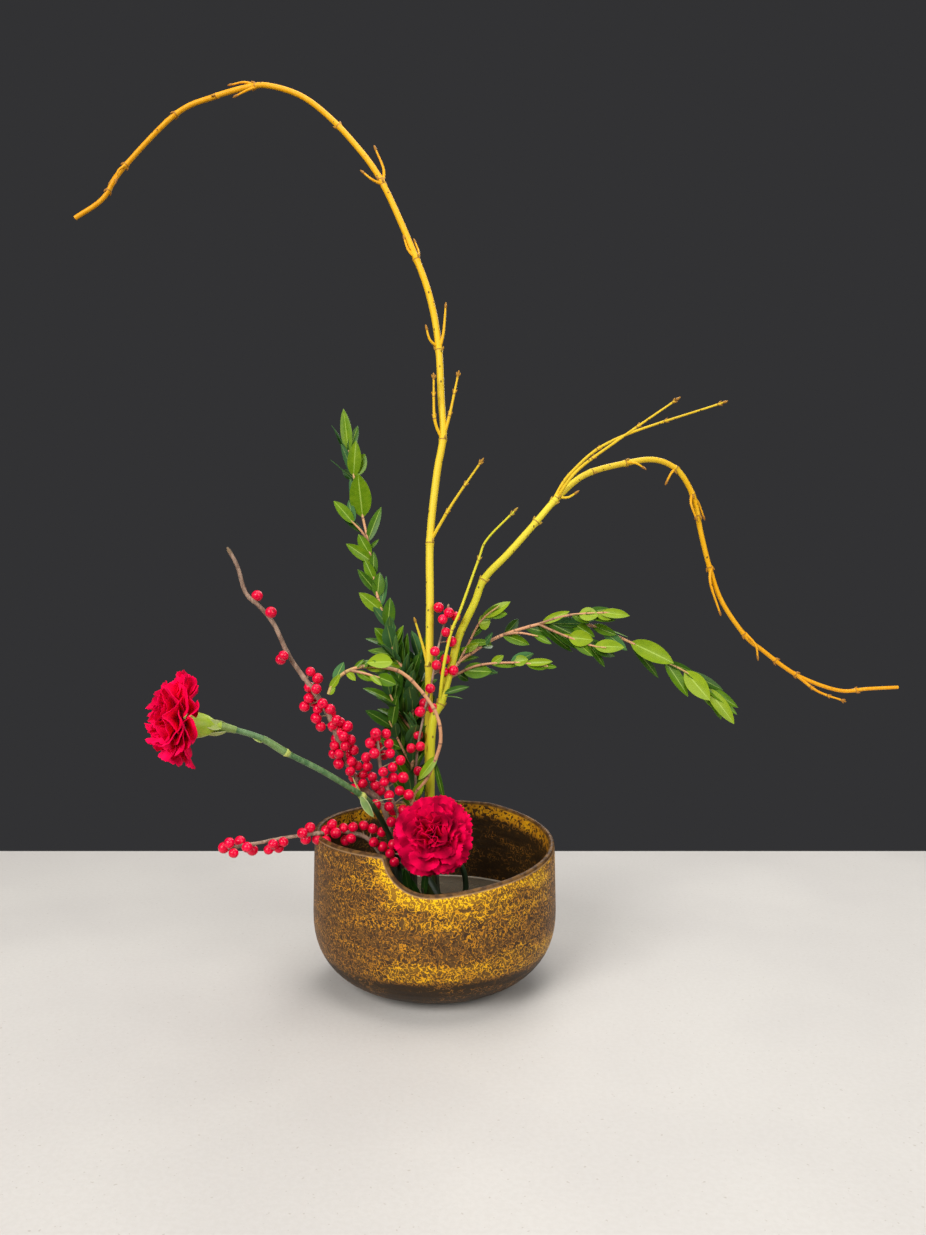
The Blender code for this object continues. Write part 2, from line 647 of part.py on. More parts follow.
def berry_plan(owner, path, bunches, stem_radius, rng):
    """Where each berry's centre lies: in bunches round the stem."""
    plan = []
    for fraction, count in bunches:
        for index in range(count):
            for attempt in range(10):
                shift = rng.uniform(-0.006, 0.006) / length_of(path)
                place, direction = along(path, min(1.0, max(0.0, fraction + shift)))
                turn = math.tau * index / count + rng.uniform(-0.5, 0.5) + attempt
                reach = stem_radius + BERRY_RADIUS * rng.uniform(0.55, 0.75)
                centre = place + side_of(direction, turn) * reach
                if is_clear(owner, [centre], BERRY_RADIUS, own_share=0.95):
                    take(owner, [centre], BERRY_RADIUS, grown=True)
                    plan.append(centre)
                    break
    return plan


def make_winterberry(name, route, radii, bunches, seed, red):
    """The bare stem with its berries, which are one body."""
    rng = random.Random(seed)
    path = stem_path(route, STEM_STEP)
    stem = tube(name, path, *radii, 6)
    berries = [
        berry(place) for place in berry_plan(name, path, bunches, radii[1], rng)
    ]
    boolean(stem, berries, "UNION", "MANIFOLD")
    return finish(stem, red, 60)


def petal(base, axis, turn, tilt, length, spread, curl, rng):
    """A fan-shaped petal with a waved outer edge."""
    bm = bmesh.new()
    bmesh.ops.create_grid(bm, x_segments=2, y_segments=3, size=0.5)
    phase = rng.uniform(0, math.tau)
    for vert in bm.verts:
        u = vert.co.x + 0.5
        v = vert.co.y * 2
        reach = length * u * (1.0 - 0.10 * v * v)
        wave = 0.04 * length * u * math.sin(2.6 * math.pi * v + phase)
        vert.co = (
            reach * math.cos(spread * v),
            reach * math.sin(spread * v),
            wave + curl * length * u * u,
        )
    thicken(bm, PETAL_THICKNESS)
    pinch(bm, 0.0)
    out = side_of(axis, turn)
    heading = axis * math.cos(tilt) + out * math.sin(tilt)
    across = axis.cross(out)
    frame = Matrix((heading, across, heading.cross(across))).transposed().to_4x4()
    foot = Matrix.Translation(base + out * PETAL_ROOT)
    bmesh.ops.transform(bm, verts=bm.verts, matrix=foot @ frame)
    return object_from(bm, "petal")


def make_bloom(name, mouth, axis, radius, seed, crimson):
    """Petals in layers round a small core that sits on the calyx's mouth."""
    rng = random.Random(seed)
    core = cone(name, Vector((0, 0, 0)), CORE_RADIUS, CORE_TIP_RADIUS, CORE_LENGTH, 10)
    turn = axis.to_track_quat("Z", "Y").to_matrix().to_4x4()
    core.data.transform(Matrix.Translation(mouth + axis * GAP) @ turn)
    petals = []
    for layer, (count, tilt, share, spread, rise, curl) in enumerate(PETAL_LAYERS):
        for index in range(count):
            turn = math.tau * (index + 0.5 * (layer % 2)) / count
            turn += rng.uniform(-0.12, 0.12)
            lean = math.radians(tilt + rng.uniform(-4, 4))
            length = radius * share * rng.uniform(0.92, 1.04)
            foot = mouth + axis * rise
            petals.append(petal(foot, axis, turn, lean, length, spread, curl, rng))
    boolean(core, petals, "UNION", "MANIFOLD")
    return finish(core, crimson, 30)


def make_carnation_stem(name, route, axis, mouth, blades, green):
    stem = tube(name, stem_path(route, STEM_STEP), *STEMS[name][1], 8)
    turn = axis.to_track_quat("Z", "Y").to_matrix().to_4x4()
    calyx = cone(
        "calyx", Vector((0, 0, 0)), CALYX_FOOT_RADIUS, CALYX_MOUTH_RADIUS, CALYX_LENGTH, 10
    )
    calyx.data.transform(Matrix.Translation(mouth - axis * CALYX_LENGTH) @ turn)
    pieces = [calyx]
    for base, heading, up, length, width in blades:
        blade = leaf(Vector(base), Vector(heading), Vector(up), length, width, BLADE_ARCH)
        pieces.append(blade)
    boolean(stem, pieces, "UNION")
    return finish(stem, green, 40)


# ---------------------------------------------------------------- assembly

# Each plant: its stem, the radius at the foot and at the tip, and its twigs.
STEMS = {
    "dogwood_tall": (TALL_DOGWOOD, (0.0046, 0.0026), TALL_DOGWOOD_TWIGS),
    "dogwood_right": (RIGHT_DOGWOOD, (0.0048, 0.0020), RIGHT_DOGWOOD_TWIGS),
    "myrtle_upright": (UPRIGHT_MYRTLE, (0.0021, 0.0010), UPRIGHT_MYRTLE_TWIGS),
    "myrtle_right": (RIGHT_MYRTLE, (0.0023, 0.0010), RIGHT_MYRTLE_TWIGS),
    "myrtle_loop": (LOOP_MYRTLE, (0.0020, 0.0016), LOOP_MYRTLE_TWIGS),
    "myrtle_front": (FRONT_MYRTLE, (0.0020, 0.0012), FRONT_MYRTLE_TWIGS),
    "winterberry_tall": (TALL_WINTERBERRY, (0.0030, 0.0018), []),
    "winterberry_low": (LOW_WINTERBERRY, (0.0024, 0.0014), []),
    "winterberry_centre": (CENTRE_WINTERBERRY, (0.0024, 0.0014), []),
    "winterberry_inner": (INNER_WINTERBERRY, (0.0017, 0.0012), []),
    "carnation_left_stem": (LEFT_CARNATION, (0.0029, 0.0024), []),
    "carnation_front_stem": (FRONT_CARNATION, (0.0027, 0.0024), []),
}
BERRIES = {
    "winterberry_tall": (TALL_BERRIES, 11),
    "winterberry_low": (LOW_BERRIES, 12),
    "winterberry_centre": (CENTRE_BERRIES, 13),
    "winterberry_inner": (INNER_BERRIES, 14),
}
# Where leaves start and end on each route, their spacing and their length.
LEAVES = {
    "myrtle_upright": (
        [(0.28, 1.0, 0.0190, 0.025), (0.4, 1.0, 0.012, 0.020),
         (0.4, 1.0, 0.016, 0.026), (0.4, 1.0, 0.016, 0.026)],
        21,
    ),
    "myrtle_right": (
        [(0.60, 1.0, 0.0210, 0.028), (0.25, 1.0, 0.016, 0.024),
         (0.3, 1.0, 0.016, 0.022), (0.3, 1.0, 0.015, 0.020),
         (0.25, 1.0, 0.018, 0.022), (0.25, 1.0, 0.016, 0.022)],
        22,
    ),
    "myrtle_loop": (
        [(0.60, 1.0, 0.030, 0.024), (0.3, 1.0, 0.012, 0.018)],
        23,
    ),
    "myrtle_front": (
        [(0.85, 1.0, 0.016, 0.026), (0.6, 1.0, 0.012, 0.024)],
        24,
    ),
}
BLOOMS = {
    "carnation_left": (LEFT_BLOOM_AXIS, 0.037, 31),
    "carnation_front": (FRONT_BLOOM_AXIS, 0.0325, 32),
}
BLADES = {
    "carnation_left_stem": LEFT_BLADES,
    "carnation_front_stem": FRONT_BLADES,
}


def bloom_mouth(name):
    """The middle of the calyx's mouth, where the petals start."""
    route = STEMS[name + "_stem"][0]
    return Vector(route[-1]) + BLOOMS[name][0] * (CALYX_LENGTH - 0.002)


def reserve_space():
    """Stems and blooms take their room before berries and leaves look for theirs."""
    for name, (route, radii, twigs) in STEMS.items():
        take(name, stem_path(route, ROOM_STEP), max(radii))
        for twig in twigs:
            take(name, smooth_path(twig, ROOM_STEP), DOGWOOD_TWIG[0])
    for name, blades in BLADES.items():
        for base, heading, _, length, width in blades:
            forward = Vector(heading).normalized() * length
            spots = [Vector(base) + forward * part / 5 for part in range(6)]
            take(name, spots, width / 2)
    for step in range(72):
        angle = math.tau * step / 72 - math.pi
        lip = notch_height(angle) if angle > NOTCH_MIDDLE - NOTCH_STEP else BOWL_HEIGHT
        middle = RIM_RADIUS - WALL / 2
        for drop in (0.004, 0.012, 0.020):
            place = (middle * math.cos(angle), middle * math.sin(angle), lip - drop)
            take("bowl", [Vector(place)], 0.0045)
    for name, (axis, radius, _) in BLOOMS.items():
        mouth = bloom_mouth(name)
        take(name, [mouth + axis * 0.45 * radius], radius)
        take(name + "_stem", [mouth - axis * CALYX_LENGTH / 3], CALYX_MOUTH_RADIUS)


def water_holes():
    """One plain cutter for each stem, a gap wider than the stem."""
    cutters = []
    for route, radii, _ in STEMS.values():
        path = [place for place in stem_path(route, STEM_STEP) if place.z < HOLE_TOP]
        path[0] = path[0] - Vector((0, 0, 0.001))
        radius = (radii[0] + GAP) / math.cos(math.pi / HOLE_SIDES)
        cutters.append(tube("hole", path, radius, radius, HOLE_SIDES))
    return cutters


def main():
    clear_scene()
    bark = material("dogwood_bark", (0.75, 0.45, 0.03), 0.5)
    foliage = material("myrtle_green", (0.10, 0.26, 0.03), 0.45)
    green = material("carnation_green", (0.18, 0.34, 0.14), 0.5)
    red = material("berry_red", (0.70, 0.0, 0.03), 0.25)
    crimson = material("petal_crimson", (0.65, 0.0, 0.04), 0.7)

    make_bowl()
    make_kenzan([(Vector(route[0]), radii[0]) for route, radii, _ in STEMS.values()])
    make_water(water_holes())
    reserve_space()
    for name in ("dogwood_tall", "dogwood_right"):
        make_dogwood(name, *STEMS[name], bark)
    for name, (bunches, seed) in BERRIES.items():
        route, radii, _ = STEMS[name]
        make_winterberry(name, route, radii, bunches, seed, red)
    for name, (axis, radius, seed) in BLOOMS.items():
        make_bloom(name + "_bloom", bloom_mouth(name), axis, radius, seed, crimson)
    make_carnation_stem(
        "carnation_left_stem", LEFT_CARNATION, LEFT_BLOOM_AXIS,
        bloom_mouth("carnation_left"), LEFT_BLADES, green,
    )
    make_carnation_stem(
        "carnation_front_stem", FRONT_CARNATION, FRONT_BLOOM_AXIS,
        bloom_mouth("carnation_front"), FRONT_BLADES, green,
    )
    for name, (spans, seed) in LEAVES.items():
        route, radii, twigs = STEMS[name]
        make_myrtle(name, route, radii, twigs, spans, foliage, seed)


main()
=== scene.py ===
# %% [markdown]
# # An ikebana arrangement in a notched stoneware bowl
# Two arching branches of golden dogwood, leafy myrtle, winterberry and two red
# carnations stand on a pin holder in the water of a thrown bowl. This notebook
# dresses the plain solids of that arrangement: each solid is replaced by a finer
# piece that keeps its place and its form, and every surface gets its own finish.
# We load the solids first. The finished pieces must fill the same one, to a
# millimetre or two.

# %% Load the solids
import bisect
import math
import random

import bmesh
import bpy
from mathutils import Matrix, Vector


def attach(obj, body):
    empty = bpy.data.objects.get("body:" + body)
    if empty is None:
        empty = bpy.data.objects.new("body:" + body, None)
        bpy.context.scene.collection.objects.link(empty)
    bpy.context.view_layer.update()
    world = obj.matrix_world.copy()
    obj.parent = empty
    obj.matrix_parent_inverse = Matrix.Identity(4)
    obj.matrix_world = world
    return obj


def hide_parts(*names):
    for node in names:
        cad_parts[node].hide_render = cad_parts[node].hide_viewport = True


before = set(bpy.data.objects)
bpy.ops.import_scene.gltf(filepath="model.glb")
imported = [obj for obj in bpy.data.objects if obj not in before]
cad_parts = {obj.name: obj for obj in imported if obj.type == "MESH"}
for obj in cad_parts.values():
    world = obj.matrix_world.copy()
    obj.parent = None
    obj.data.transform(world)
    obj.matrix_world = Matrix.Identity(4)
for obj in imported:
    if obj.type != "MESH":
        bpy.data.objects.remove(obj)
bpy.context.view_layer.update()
print("solids:", ", ".join(sorted(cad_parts)))

# %% [markdown]
# ## Camera, table top and light
# The camera stands a little above the middle of the branches and looks almost
# level. The table top is a plain pale slab, so that it bounces soft light up to the
# underside of the bowl. A big soft lamp from the front left is the main light, a
# weaker one on the right opens the shadows, and one above draws the upper edges.
# The world behind is a dark grey, because pale twigs read best against it. The
# Standard view keeps strong reds and yellows as they are.

# %% Camera
def link(obj):
    bpy.context.scene.collection.objects.link(obj)
    return obj


camera_data = bpy.data.cameras.new("camera")
camera_data.lens = 29.15
camera_data.sensor_width = 36.0
camera = link(bpy.data.objects.new("camera", camera_data))
camera.location = (0.0257, -0.909, 0.362)
camera.rotation_euler = (math.radians(88), 0.0, 0.0)
bpy.context.scene.camera = camera
bpy.context.scene.view_settings.view_transform = "Standard"
print("the camera stands", round(-camera.location.y, 2), "m in front of the bowl")


# %% Lamps and world
def soft_lamp(name, place, target, size, watts):
    """A square area lamp that looks at a point."""
    data = bpy.data.lights.new(name, "AREA")
    data.size = size
    data.energy = watts
    lamp = link(bpy.data.objects.new(name, data))
    lamp.location = place
    heading = Vector(target) - Vector(place)
    lamp.rotation_euler = heading.to_track_quat("-Z", "Y").to_euler()


soft_lamp("key_lamp", (-1.4, -2.2, 1.6), (0.0, 0.0, 0.30), 1.6, 92.0)
soft_lamp("fill_lamp", (1.6, -1.6, 1.2), (0.0, 0.0, 0.25), 1.6, 34.0)
soft_lamp("top_lamp", (0.1, 0.1, 2.3), (0.0, 0.0, 0.0), 1.8, 34.0)
soft_lamp("back_lamp", (0.6, 1.8, 1.4), (0.0, 0.0, 0.4), 1.2, 14.0)
world = bpy.data.worlds.new("studio")
world.use_nodes = True
background = world.node_tree.nodes["Background"]
background.inputs["Color"].default_value = (0.032, 0.032, 0.034, 1.0)
bpy.context.scene.world = world

# %% [markdown]
# ## A short way to write materials
# A shader tree is quicker to read when each node takes one line. The helper `add`
# makes a node and fills its sockets with numbers, colours or the outputs of other
# nodes. `mixed` blends two colours, `sums` does arithmetic, and `times`, `plus` and
# `minus` are its short forms. `steps` is a colour ramp. Every pattern reads Object
# coordinates, in metres, because all the pieces lie at the origin, so a pattern has
# its true size everywhere.

# %% Nodes, colours and sums
def add(tree, kind, settings=None, **inputs):
    """Adds a shader node. An input named i3 is the fourth socket."""
    node = tree.nodes.new("ShaderNode" + kind)
    for key, value in (settings or {}).items():
        setattr(node, key, value)
    for key, value in inputs.items():
        numbered = key[0] == "i" and key[1:].isdigit()
        socket = node.inputs[int(key[1:])] if numbered else node.inputs[key.replace("_", " ")]
        if isinstance(value, bpy.types.NodeSocket):
            tree.links.new(value, socket)
        else:
            socket.default_value = value
    return node


def colour(red, green, blue):
    return (red, green, blue, 1.0)


def mixed(tree, mask, first, second):
    return add(tree, "Mix", {"data_type": "RGBA"}, i0=mask, i6=first, i7=second).outputs[2]


def sums(tree, operation, first, second=0.0, clamp=False):
    settings = {"operation": operation, "use_clamp": clamp}
    return add(tree, "Math", settings, i0=first, i1=second).outputs[0]


def times(tree, first, second):
    return sums(tree, "MULTIPLY", first, second)


def plus(tree, first, second, clamp=False):
    return sums(tree, "ADD", first, second, clamp)


def minus(tree, first, second):
    return sums(tree, "SUBTRACT", first, second)


def wander(tree, value, amount):
    """Turns a noise into a small shift to both sides of zero."""
    return times(tree, minus(tree, value, 0.5), amount)


print("sums:", [helper.__name__ for helper in (times, plus, minus, wander)])


# %% Ramps and patterns
def span(tree, value, low, high, to_low=0.0, to_high=1.0):
    """Maps low..high of a value to 0..1 with soft ends."""
    settings = {"interpolation_type": "SMOOTHSTEP"}
    inputs = {"i0": value, "i1": low, "i2": high, "i3": to_low, "i4": to_high}
    return add(tree, "MapRange", settings, **inputs).outputs[0]


def steps(tree, value, stops):
    """A colour ramp through the stops, each a place and a colour."""
    ramp = add(tree, "ValToRGB", Fac=value)
    elements = ramp.color_ramp.elements
    while len(elements) < len(stops):
        elements.new(0.5)
    for element, (place, shade) in zip(elements, stops):
        element.position = place
        element.color = shade
    return ramp.outputs[0]


def object_place(tree, stretch=(1.0, 1.0, 1.0)):
    place = add(tree, "TexCoord").outputs["Object"]
    return add(tree, "Mapping", Vector=place, Scale=stretch).outputs[0]


def noise(tree, place, scale, detail=2.0, distortion=0.0):
    return add(
        tree, "TexNoise", Vector=place, Scale=scale, Detail=detail, Distortion=distortion,
    ).outputs[0]


def attribute(tree, name):
    """A value that the mesh keeps on its points."""
    return add(tree, "Attribute", {"attribute_name": name}).outputs["Fac"]


print("patterns:", [helper.__name__ for helper in (span, steps, noise, attribute)])


# %% Materials
def new_material(name, roughness, **fixed):
    """A material, its tree and its shader, with the plain values set on the sockets."""
    made = bpy.data.materials.new(name)
    made.use_nodes = True
    shader = made.node_tree.nodes["Principled BSDF"]
    shader.inputs["Roughness"].default_value = roughness
    for key, value in fixed.items():
        shader.inputs[key.replace("_", " ")].default_value = value
    print("finish:", name)
    return made, made.node_tree, shader


def feed(tree, shader, socket, value):
    tree.links.new(value, shader.inputs[socket])


def raise_bumps(tree, shader, height, distance, strength=1.0):
    bump = add(tree, "Bump", Height=height, Distance=distance, Strength=strength)
    feed(tree, shader, "Normal", bump.outputs[0])


# %% [markdown]
# ## Two effects that many finishes share
# Real bark, leaf, petal and clay are never one even colour. `Mottle` gives a soft
# cloudy mask of any size, and `Pores` gives a height for fine bumps. Each is built
# once as a node group with named sockets, and placed in a material with its own
# values. A group gives out only masks and heights; the shader stays outside.

# %% Shared node groups
def new_group(name, inputs, output):
    group = bpy.data.node_groups.new(name, "ShaderNodeTree")
    for title, value in inputs.items():
        socket = group.interface.new_socket(
            name=title, in_out="INPUT", socket_type="NodeSocketFloat"
        )
        socket.default_value = value
    group.interface.new_socket(name=output, in_out="OUTPUT", socket_type="NodeSocketFloat")
    entry = group.nodes.new("NodeGroupInput")
    leave = group.nodes.new("NodeGroupOutput")
    return group, entry.outputs, leave.inputs


def make_mottle():
    group, given, result = new_group(
        "Mottle", {"Scale": 40.0, "Low": 0.4, "High": 0.6, "Stretch": 1.0}, "Mask"
    )
    place = add(group, "TexCoord").outputs["Object"]
    stretch = add(group, "CombineXYZ", X=1.0, Y=1.0, Z=given["Stretch"]).outputs[0]
    place = add(group, "Mapping", Vector=place, Scale=stretch).outputs[0]
    cloud = noise(group, place, given["Scale"], 3.0)
    group.links.new(span(group, cloud, given["Low"], given["High"]), result["Mask"])
    return group


def make_pores():
    group, given, result = new_group("Pores", {"Scale": 600.0, "Coarse": 0.3}, "Height")
    place = add(group, "TexCoord").outputs["Object"]
    fine = noise(group, place, given["Scale"], 3.0)
    wide_scale = times(group, given["Scale"], 0.12)
    wide = times(group, noise(group, place, wide_scale, 2.0), given["Coarse"])
    group.links.new(plus(group, fine, wide), result["Height"])
    return group


MOTTLE = make_mottle()
PORES = make_pores()


def mottle(tree, scale, low=0.4, high=0.6, stretch=1.0):
    inputs = {"Scale": scale, "Low": low, "High": high, "Stretch": stretch}
    return add(tree, "Group", {"node_tree": MOTTLE}, **inputs).outputs["Mask"]


def pores(tree, scale, coarse=0.3):
    inputs = {"Scale": scale, "Coarse": coarse}
    return add(tree, "Group", {"node_tree": PORES}, **inputs).outputs["Height"]


print("groups:", [group.name for group in bpy.data.node_groups])


# %% [markdown]
# ## The table top
# A rounded slab is enough: it starts as a cube, scaled flat, with its edges
# bevelled. Its finish is a pale plaster with a faint mottle and very fine pores.

# %% Plaster
def make_plaster():
    made, tree, shader = new_material("pale_plaster", 0.7)
    light, dull = colour(0.58, 0.55, 0.51), colour(0.55, 0.52, 0.485)
    pale = mixed(tree, mottle(tree, 6.0, 0.3, 0.7), dull, light)
    grain = times(tree, mottle(tree, 260.0, 0.35, 0.65), 0.10)
    pale = mixed(tree, grain, pale, colour(0.40, 0.36, 0.31))
    specks = span(tree, noise(tree, object_place(tree), 330.0, 1.0), 0.72, 0.76, 0.0, 0.4)
    feed(tree, shader, "Base Color", mixed(tree, specks, pale, colour(0.30, 0.24, 0.18)))
    raise_bumps(tree, shader, pores(tree, 300.0), 0.0003, 0.4)
    return made


PLASTER = make_plaster()


# %% Table top
TABLE_SIZE = (1.7, 0.860, 0.03)
TABLE_EDGE = 0.002


def make_table():
    bm = bmesh.new()
    bmesh.ops.create_cube(bm, size=1.0)
    bmesh.ops.scale(bm, verts=bm.verts, vec=TABLE_SIZE)
    bmesh.ops.translate(bm, verts=bm.verts, vec=(0.0, 0.0, -TABLE_SIZE[2] / 2))
    bmesh.ops.bevel(
        bm, geom=bm.edges[:], offset=TABLE_EDGE, offset_type="OFFSET",
        segments=2, profile=0.5, affect="EDGES", material=-1,
    )
    mesh = bpy.data.meshes.new("table_top")
    bm.to_mesh(mesh)
    bm.free()
    mesh.materials.append(PLASTER)
    link(bpy.data.objects.new("table_top", mesh))


make_table()
print("table top:", TABLE_SIZE)

# %% [markdown]
# ## Where the stems run
# The routes are lists of points in metres from the middle of the bowl's foot, and
# are the same ones that the solids follow. The first point of a stem stands on the
# pin holder, and the first point of a twig lies on its branch. A florist sets the
# tall branch first, then the side branch, and fills the middle last, so the lists
# keep that order.

# %% Routes of the two dogwood branches
STEM_FOOT = 0.0186
TALL_DOGWOOD = [
    (-0.005, 0.013, STEM_FOOT), (-0.006, 0.013, 0.160), (-0.006, 0.015, 0.250),
    (-0.005, 0.019, 0.340), (-0.005, 0.026, 0.403), (0.001, 0.034, 0.463),
    (0.007, 0.042, 0.501), (0.005, 0.050, 0.536), (0.002, 0.062, 0.591),
    (-0.006, 0.074, 0.637), (-0.021, 0.086, 0.682), (-0.056, 0.108, 0.764),
    (-0.087, 0.122, 0.810), (-0.117, 0.134, 0.844), (-0.143, 0.142, 0.865),
    (-0.173, 0.150, 0.878), (-0.195, 0.156, 0.881), (-0.237, 0.166, 0.875),
    (-0.281, 0.174, 0.860), (-0.341, 0.184, 0.807), (-0.364, 0.188, 0.777),
    (-0.395, 0.190, 0.757),
]
TALL_DOGWOOD_TWIGS = [
    [(-0.007, 0.015, 0.285), (-0.011, 0.014, 0.302), (-0.018, 0.009, 0.326)],
    [(-0.005, 0.026, 0.400), (0.016, 0.018, 0.435), (0.042, 0.010, 0.472)],
    [(0.006, 0.041, 0.497), (-0.001, 0.039, 0.516), (-0.002, 0.040, 0.555)],
    [(0.007, 0.042, 0.499), (0.013, 0.042, 0.520), (0.021, 0.044, 0.558)],
    [(0.003, 0.061, 0.586), (0.007, 0.060, 0.602), (0.009, 0.060, 0.626)],
    [(0.002, 0.061, 0.588), (-0.006, 0.057, 0.594), (-0.009, 0.056, 0.604)],
    [(-0.020, 0.085, 0.680), (-0.028, 0.085, 0.688), (-0.032, 0.088, 0.700)],
    [(-0.019, 0.085, 0.678), (-0.018, 0.092, 0.688), (-0.022, 0.097, 0.700)],
    [(-0.055, 0.107, 0.761), (-0.054, 0.112, 0.777), (-0.062, 0.112, 0.797)],
    [(-0.054, 0.107, 0.760), (-0.064, 0.100, 0.762), (-0.073, 0.100, 0.769)],
    [(-0.190, 0.155, 0.881), (-0.204, 0.160, 0.887), (-0.218, 0.163, 0.886)],
    [(-0.190, 0.155, 0.880), (-0.200, 0.151, 0.874), (-0.210, 0.151, 0.869)],
    [(-0.279, 0.174, 0.861), (-0.294, 0.182, 0.857), (-0.307, 0.185, 0.843)],
    [(-0.338, 0.184, 0.810), (-0.350, 0.190, 0.804), (-0.357, 0.192, 0.796)],
    [(-0.337, 0.183, 0.811), (-0.343, 0.176, 0.802), (-0.345, 0.175, 0.792)],
]
RIGHT_DOGWOOD = [
    (-0.003, -0.007, STEM_FOOT), (-0.004, -0.006, 0.171), (-0.002, -0.004, 0.234),
    (0.006, 0.001, 0.253), (0.0155, 0.010, 0.2875), (0.0225, 0.017, 0.3135),
    (0.0365, 0.026, 0.343), (0.046, 0.034, 0.366), (0.069, 0.044, 0.390),
    (0.095, 0.056, 0.419), (0.118, 0.066, 0.445), (0.146, 0.076, 0.468),
    (0.189, 0.090, 0.481), (0.218, 0.098, 0.485), (0.240, 0.104, 0.477),
    (0.253, 0.108, 0.462), (0.262, 0.112, 0.443), (0.2685, 0.116, 0.415),
    (0.279, 0.120, 0.378), (0.293, 0.124, 0.3425), (0.3185, 0.128, 0.307),
    (0.337, 0.131, 0.292), (0.376, 0.138, 0.265), (0.423, 0.146, 0.248),
    (0.456, 0.152, 0.249), (0.491, 0.158, 0.250),
]
RIGHT_DOGWOOD_TWIGS = [
    [(0.004, 0.000, 0.250), (0.008, -0.003, 0.285), (0.015, 0.002, 0.317),
     (0.023, 0.006, 0.336), (0.040, 0.018, 0.383), (0.048, 0.022, 0.402),
     (0.074, 0.030, 0.429)],
    [(0.116, 0.065, 0.443), (0.136, 0.058, 0.470), (0.175, 0.056, 0.499),
     (0.229, 0.050, 0.536)],
    [(0.112, 0.063, 0.440), (0.132, 0.072, 0.470), (0.175, 0.072, 0.502),
     (0.279, 0.070, 0.537)],
    [(0.118, 0.066, 0.445), (0.127, 0.060, 0.444), (0.134, 0.059, 0.448)],
    [(0.187, 0.089, 0.481), (0.196, 0.083, 0.480), (0.203, 0.083, 0.476)],
    [(0.240, 0.104, 0.477), (0.235, 0.101, 0.472), (0.231, 0.101, 0.464)],
    [(0.258, 0.110, 0.452), (0.256, 0.105, 0.442), (0.261, 0.105, 0.428)],
    [(0.259, 0.111, 0.450), (0.266, 0.117, 0.444), (0.272, 0.119, 0.430)],
    [(0.281, 0.120, 0.379), (0.279, 0.116, 0.362), (0.289, 0.117, 0.332)],
    [(0.318, 0.128, 0.310), (0.328, 0.123, 0.298), (0.330, 0.122, 0.286)],
    [(0.374, 0.138, 0.266), (0.398, 0.138, 0.248), (0.425, 0.140, 0.238)],
]
print("dogwood twigs:", len(TALL_DOGWOOD_TWIGS) + len(RIGHT_DOGWOOD_TWIGS))


# %% Routes of the myrtle
UPRIGHT_MYRTLE = [
    (-0.022, 0.014, STEM_FOOT), (-0.022, 0.014, 0.160), (-0.021, 0.017, 0.214),
    (-0.022, 0.020, 0.248), (-0.028, 0.024, 0.276), (-0.040, 0.028, 0.299),
    (-0.045, 0.032, 0.320), (-0.055, 0.038, 0.348), (-0.061, 0.044, 0.379),
    (-0.066, 0.050, 0.405), (-0.071, 0.054, 0.427), (-0.081, 0.062, 0.470),
    (-0.091, 0.071, 0.512),
]
UPRIGHT_MYRTLE_TWIGS = [
    [(-0.065, 0.049, 0.402), (-0.072, 0.047, 0.412), (-0.081, 0.046, 0.421)],
    [(-0.023, 0.020, 0.250), (-0.014, 0.030, 0.268), (-0.014, 0.040, 0.290)],
    [(-0.022, 0.018, 0.225), (-0.033, 0.016, 0.240), (-0.044, 0.016, 0.262)],
]
RIGHT_MYRTLE = [
    (0.005, 0.031, STEM_FOOT), (-0.004, 0.034, 0.160), (0.001, 0.035, 0.240),
    (0.016, 0.037, 0.279), (0.037, 0.042, 0.297), (0.062, 0.048, 0.311),
    (0.100, 0.056, 0.322), (0.126, 0.062, 0.324), (0.151, 0.068, 0.320),
    (0.173, 0.072, 0.311), (0.197, 0.076, 0.300), (0.227, 0.080, 0.283),
    (0.252, 0.084, 0.270), (0.280, 0.088, 0.246),
]
RIGHT_MYRTLE_TWIGS = [
    [(0.098, 0.056, 0.322), (0.129, 0.050, 0.331), (0.176, 0.044, 0.334)],
    [(0.098, 0.056, 0.322), (0.121, 0.050, 0.312), (0.148, 0.046, 0.302),
     (0.162, 0.042, 0.300)],
    [(0.064, 0.048, 0.312), (0.080, 0.043, 0.314), (0.097, 0.040, 0.311)],
    [(0.014, 0.036, 0.272), (0.040, 0.031, 0.284), (0.075, 0.027, 0.287),
     (0.105, 0.021, 0.284)],
    [(0.018, 0.037, 0.280), (0.030, 0.040, 0.302), (0.043, 0.042, 0.326),
     (0.060, 0.038, 0.340)],
]
LOOP_MYRTLE = [
    (-0.014, -0.016, STEM_FOOT), (-0.018, -0.017, 0.110), (-0.020, -0.018, 0.165),
    (-0.008, -0.022, 0.185), (0.001, -0.024, 0.204), (0.006, -0.026, 0.224),
    (0.002, -0.026, 0.246), (-0.013, -0.026, 0.268), (-0.031, -0.030, 0.284),
    (-0.058, -0.038, 0.289), (-0.075, -0.045, 0.285), (-0.086, -0.049, 0.276),
    (-0.090, -0.052, 0.266),
]
LOOP_MYRTLE_TWIGS = [
    [(-0.073, -0.044, 0.286), (-0.060, -0.049, 0.284), (-0.046, -0.050, 0.280)],
]
FRONT_MYRTLE = [
    (-0.008, -0.034, STEM_FOOT), (-0.014, -0.044, 0.068), (-0.022, -0.051, 0.098),
]
FRONT_MYRTLE_TWIGS = [
    [(-0.014, -0.044, 0.070), (-0.009, -0.050, 0.084), (-0.009, -0.054, 0.098)],
]
print("right-hand myrtle reaches x =", RIGHT_MYRTLE[-1][0], "m at its tip")


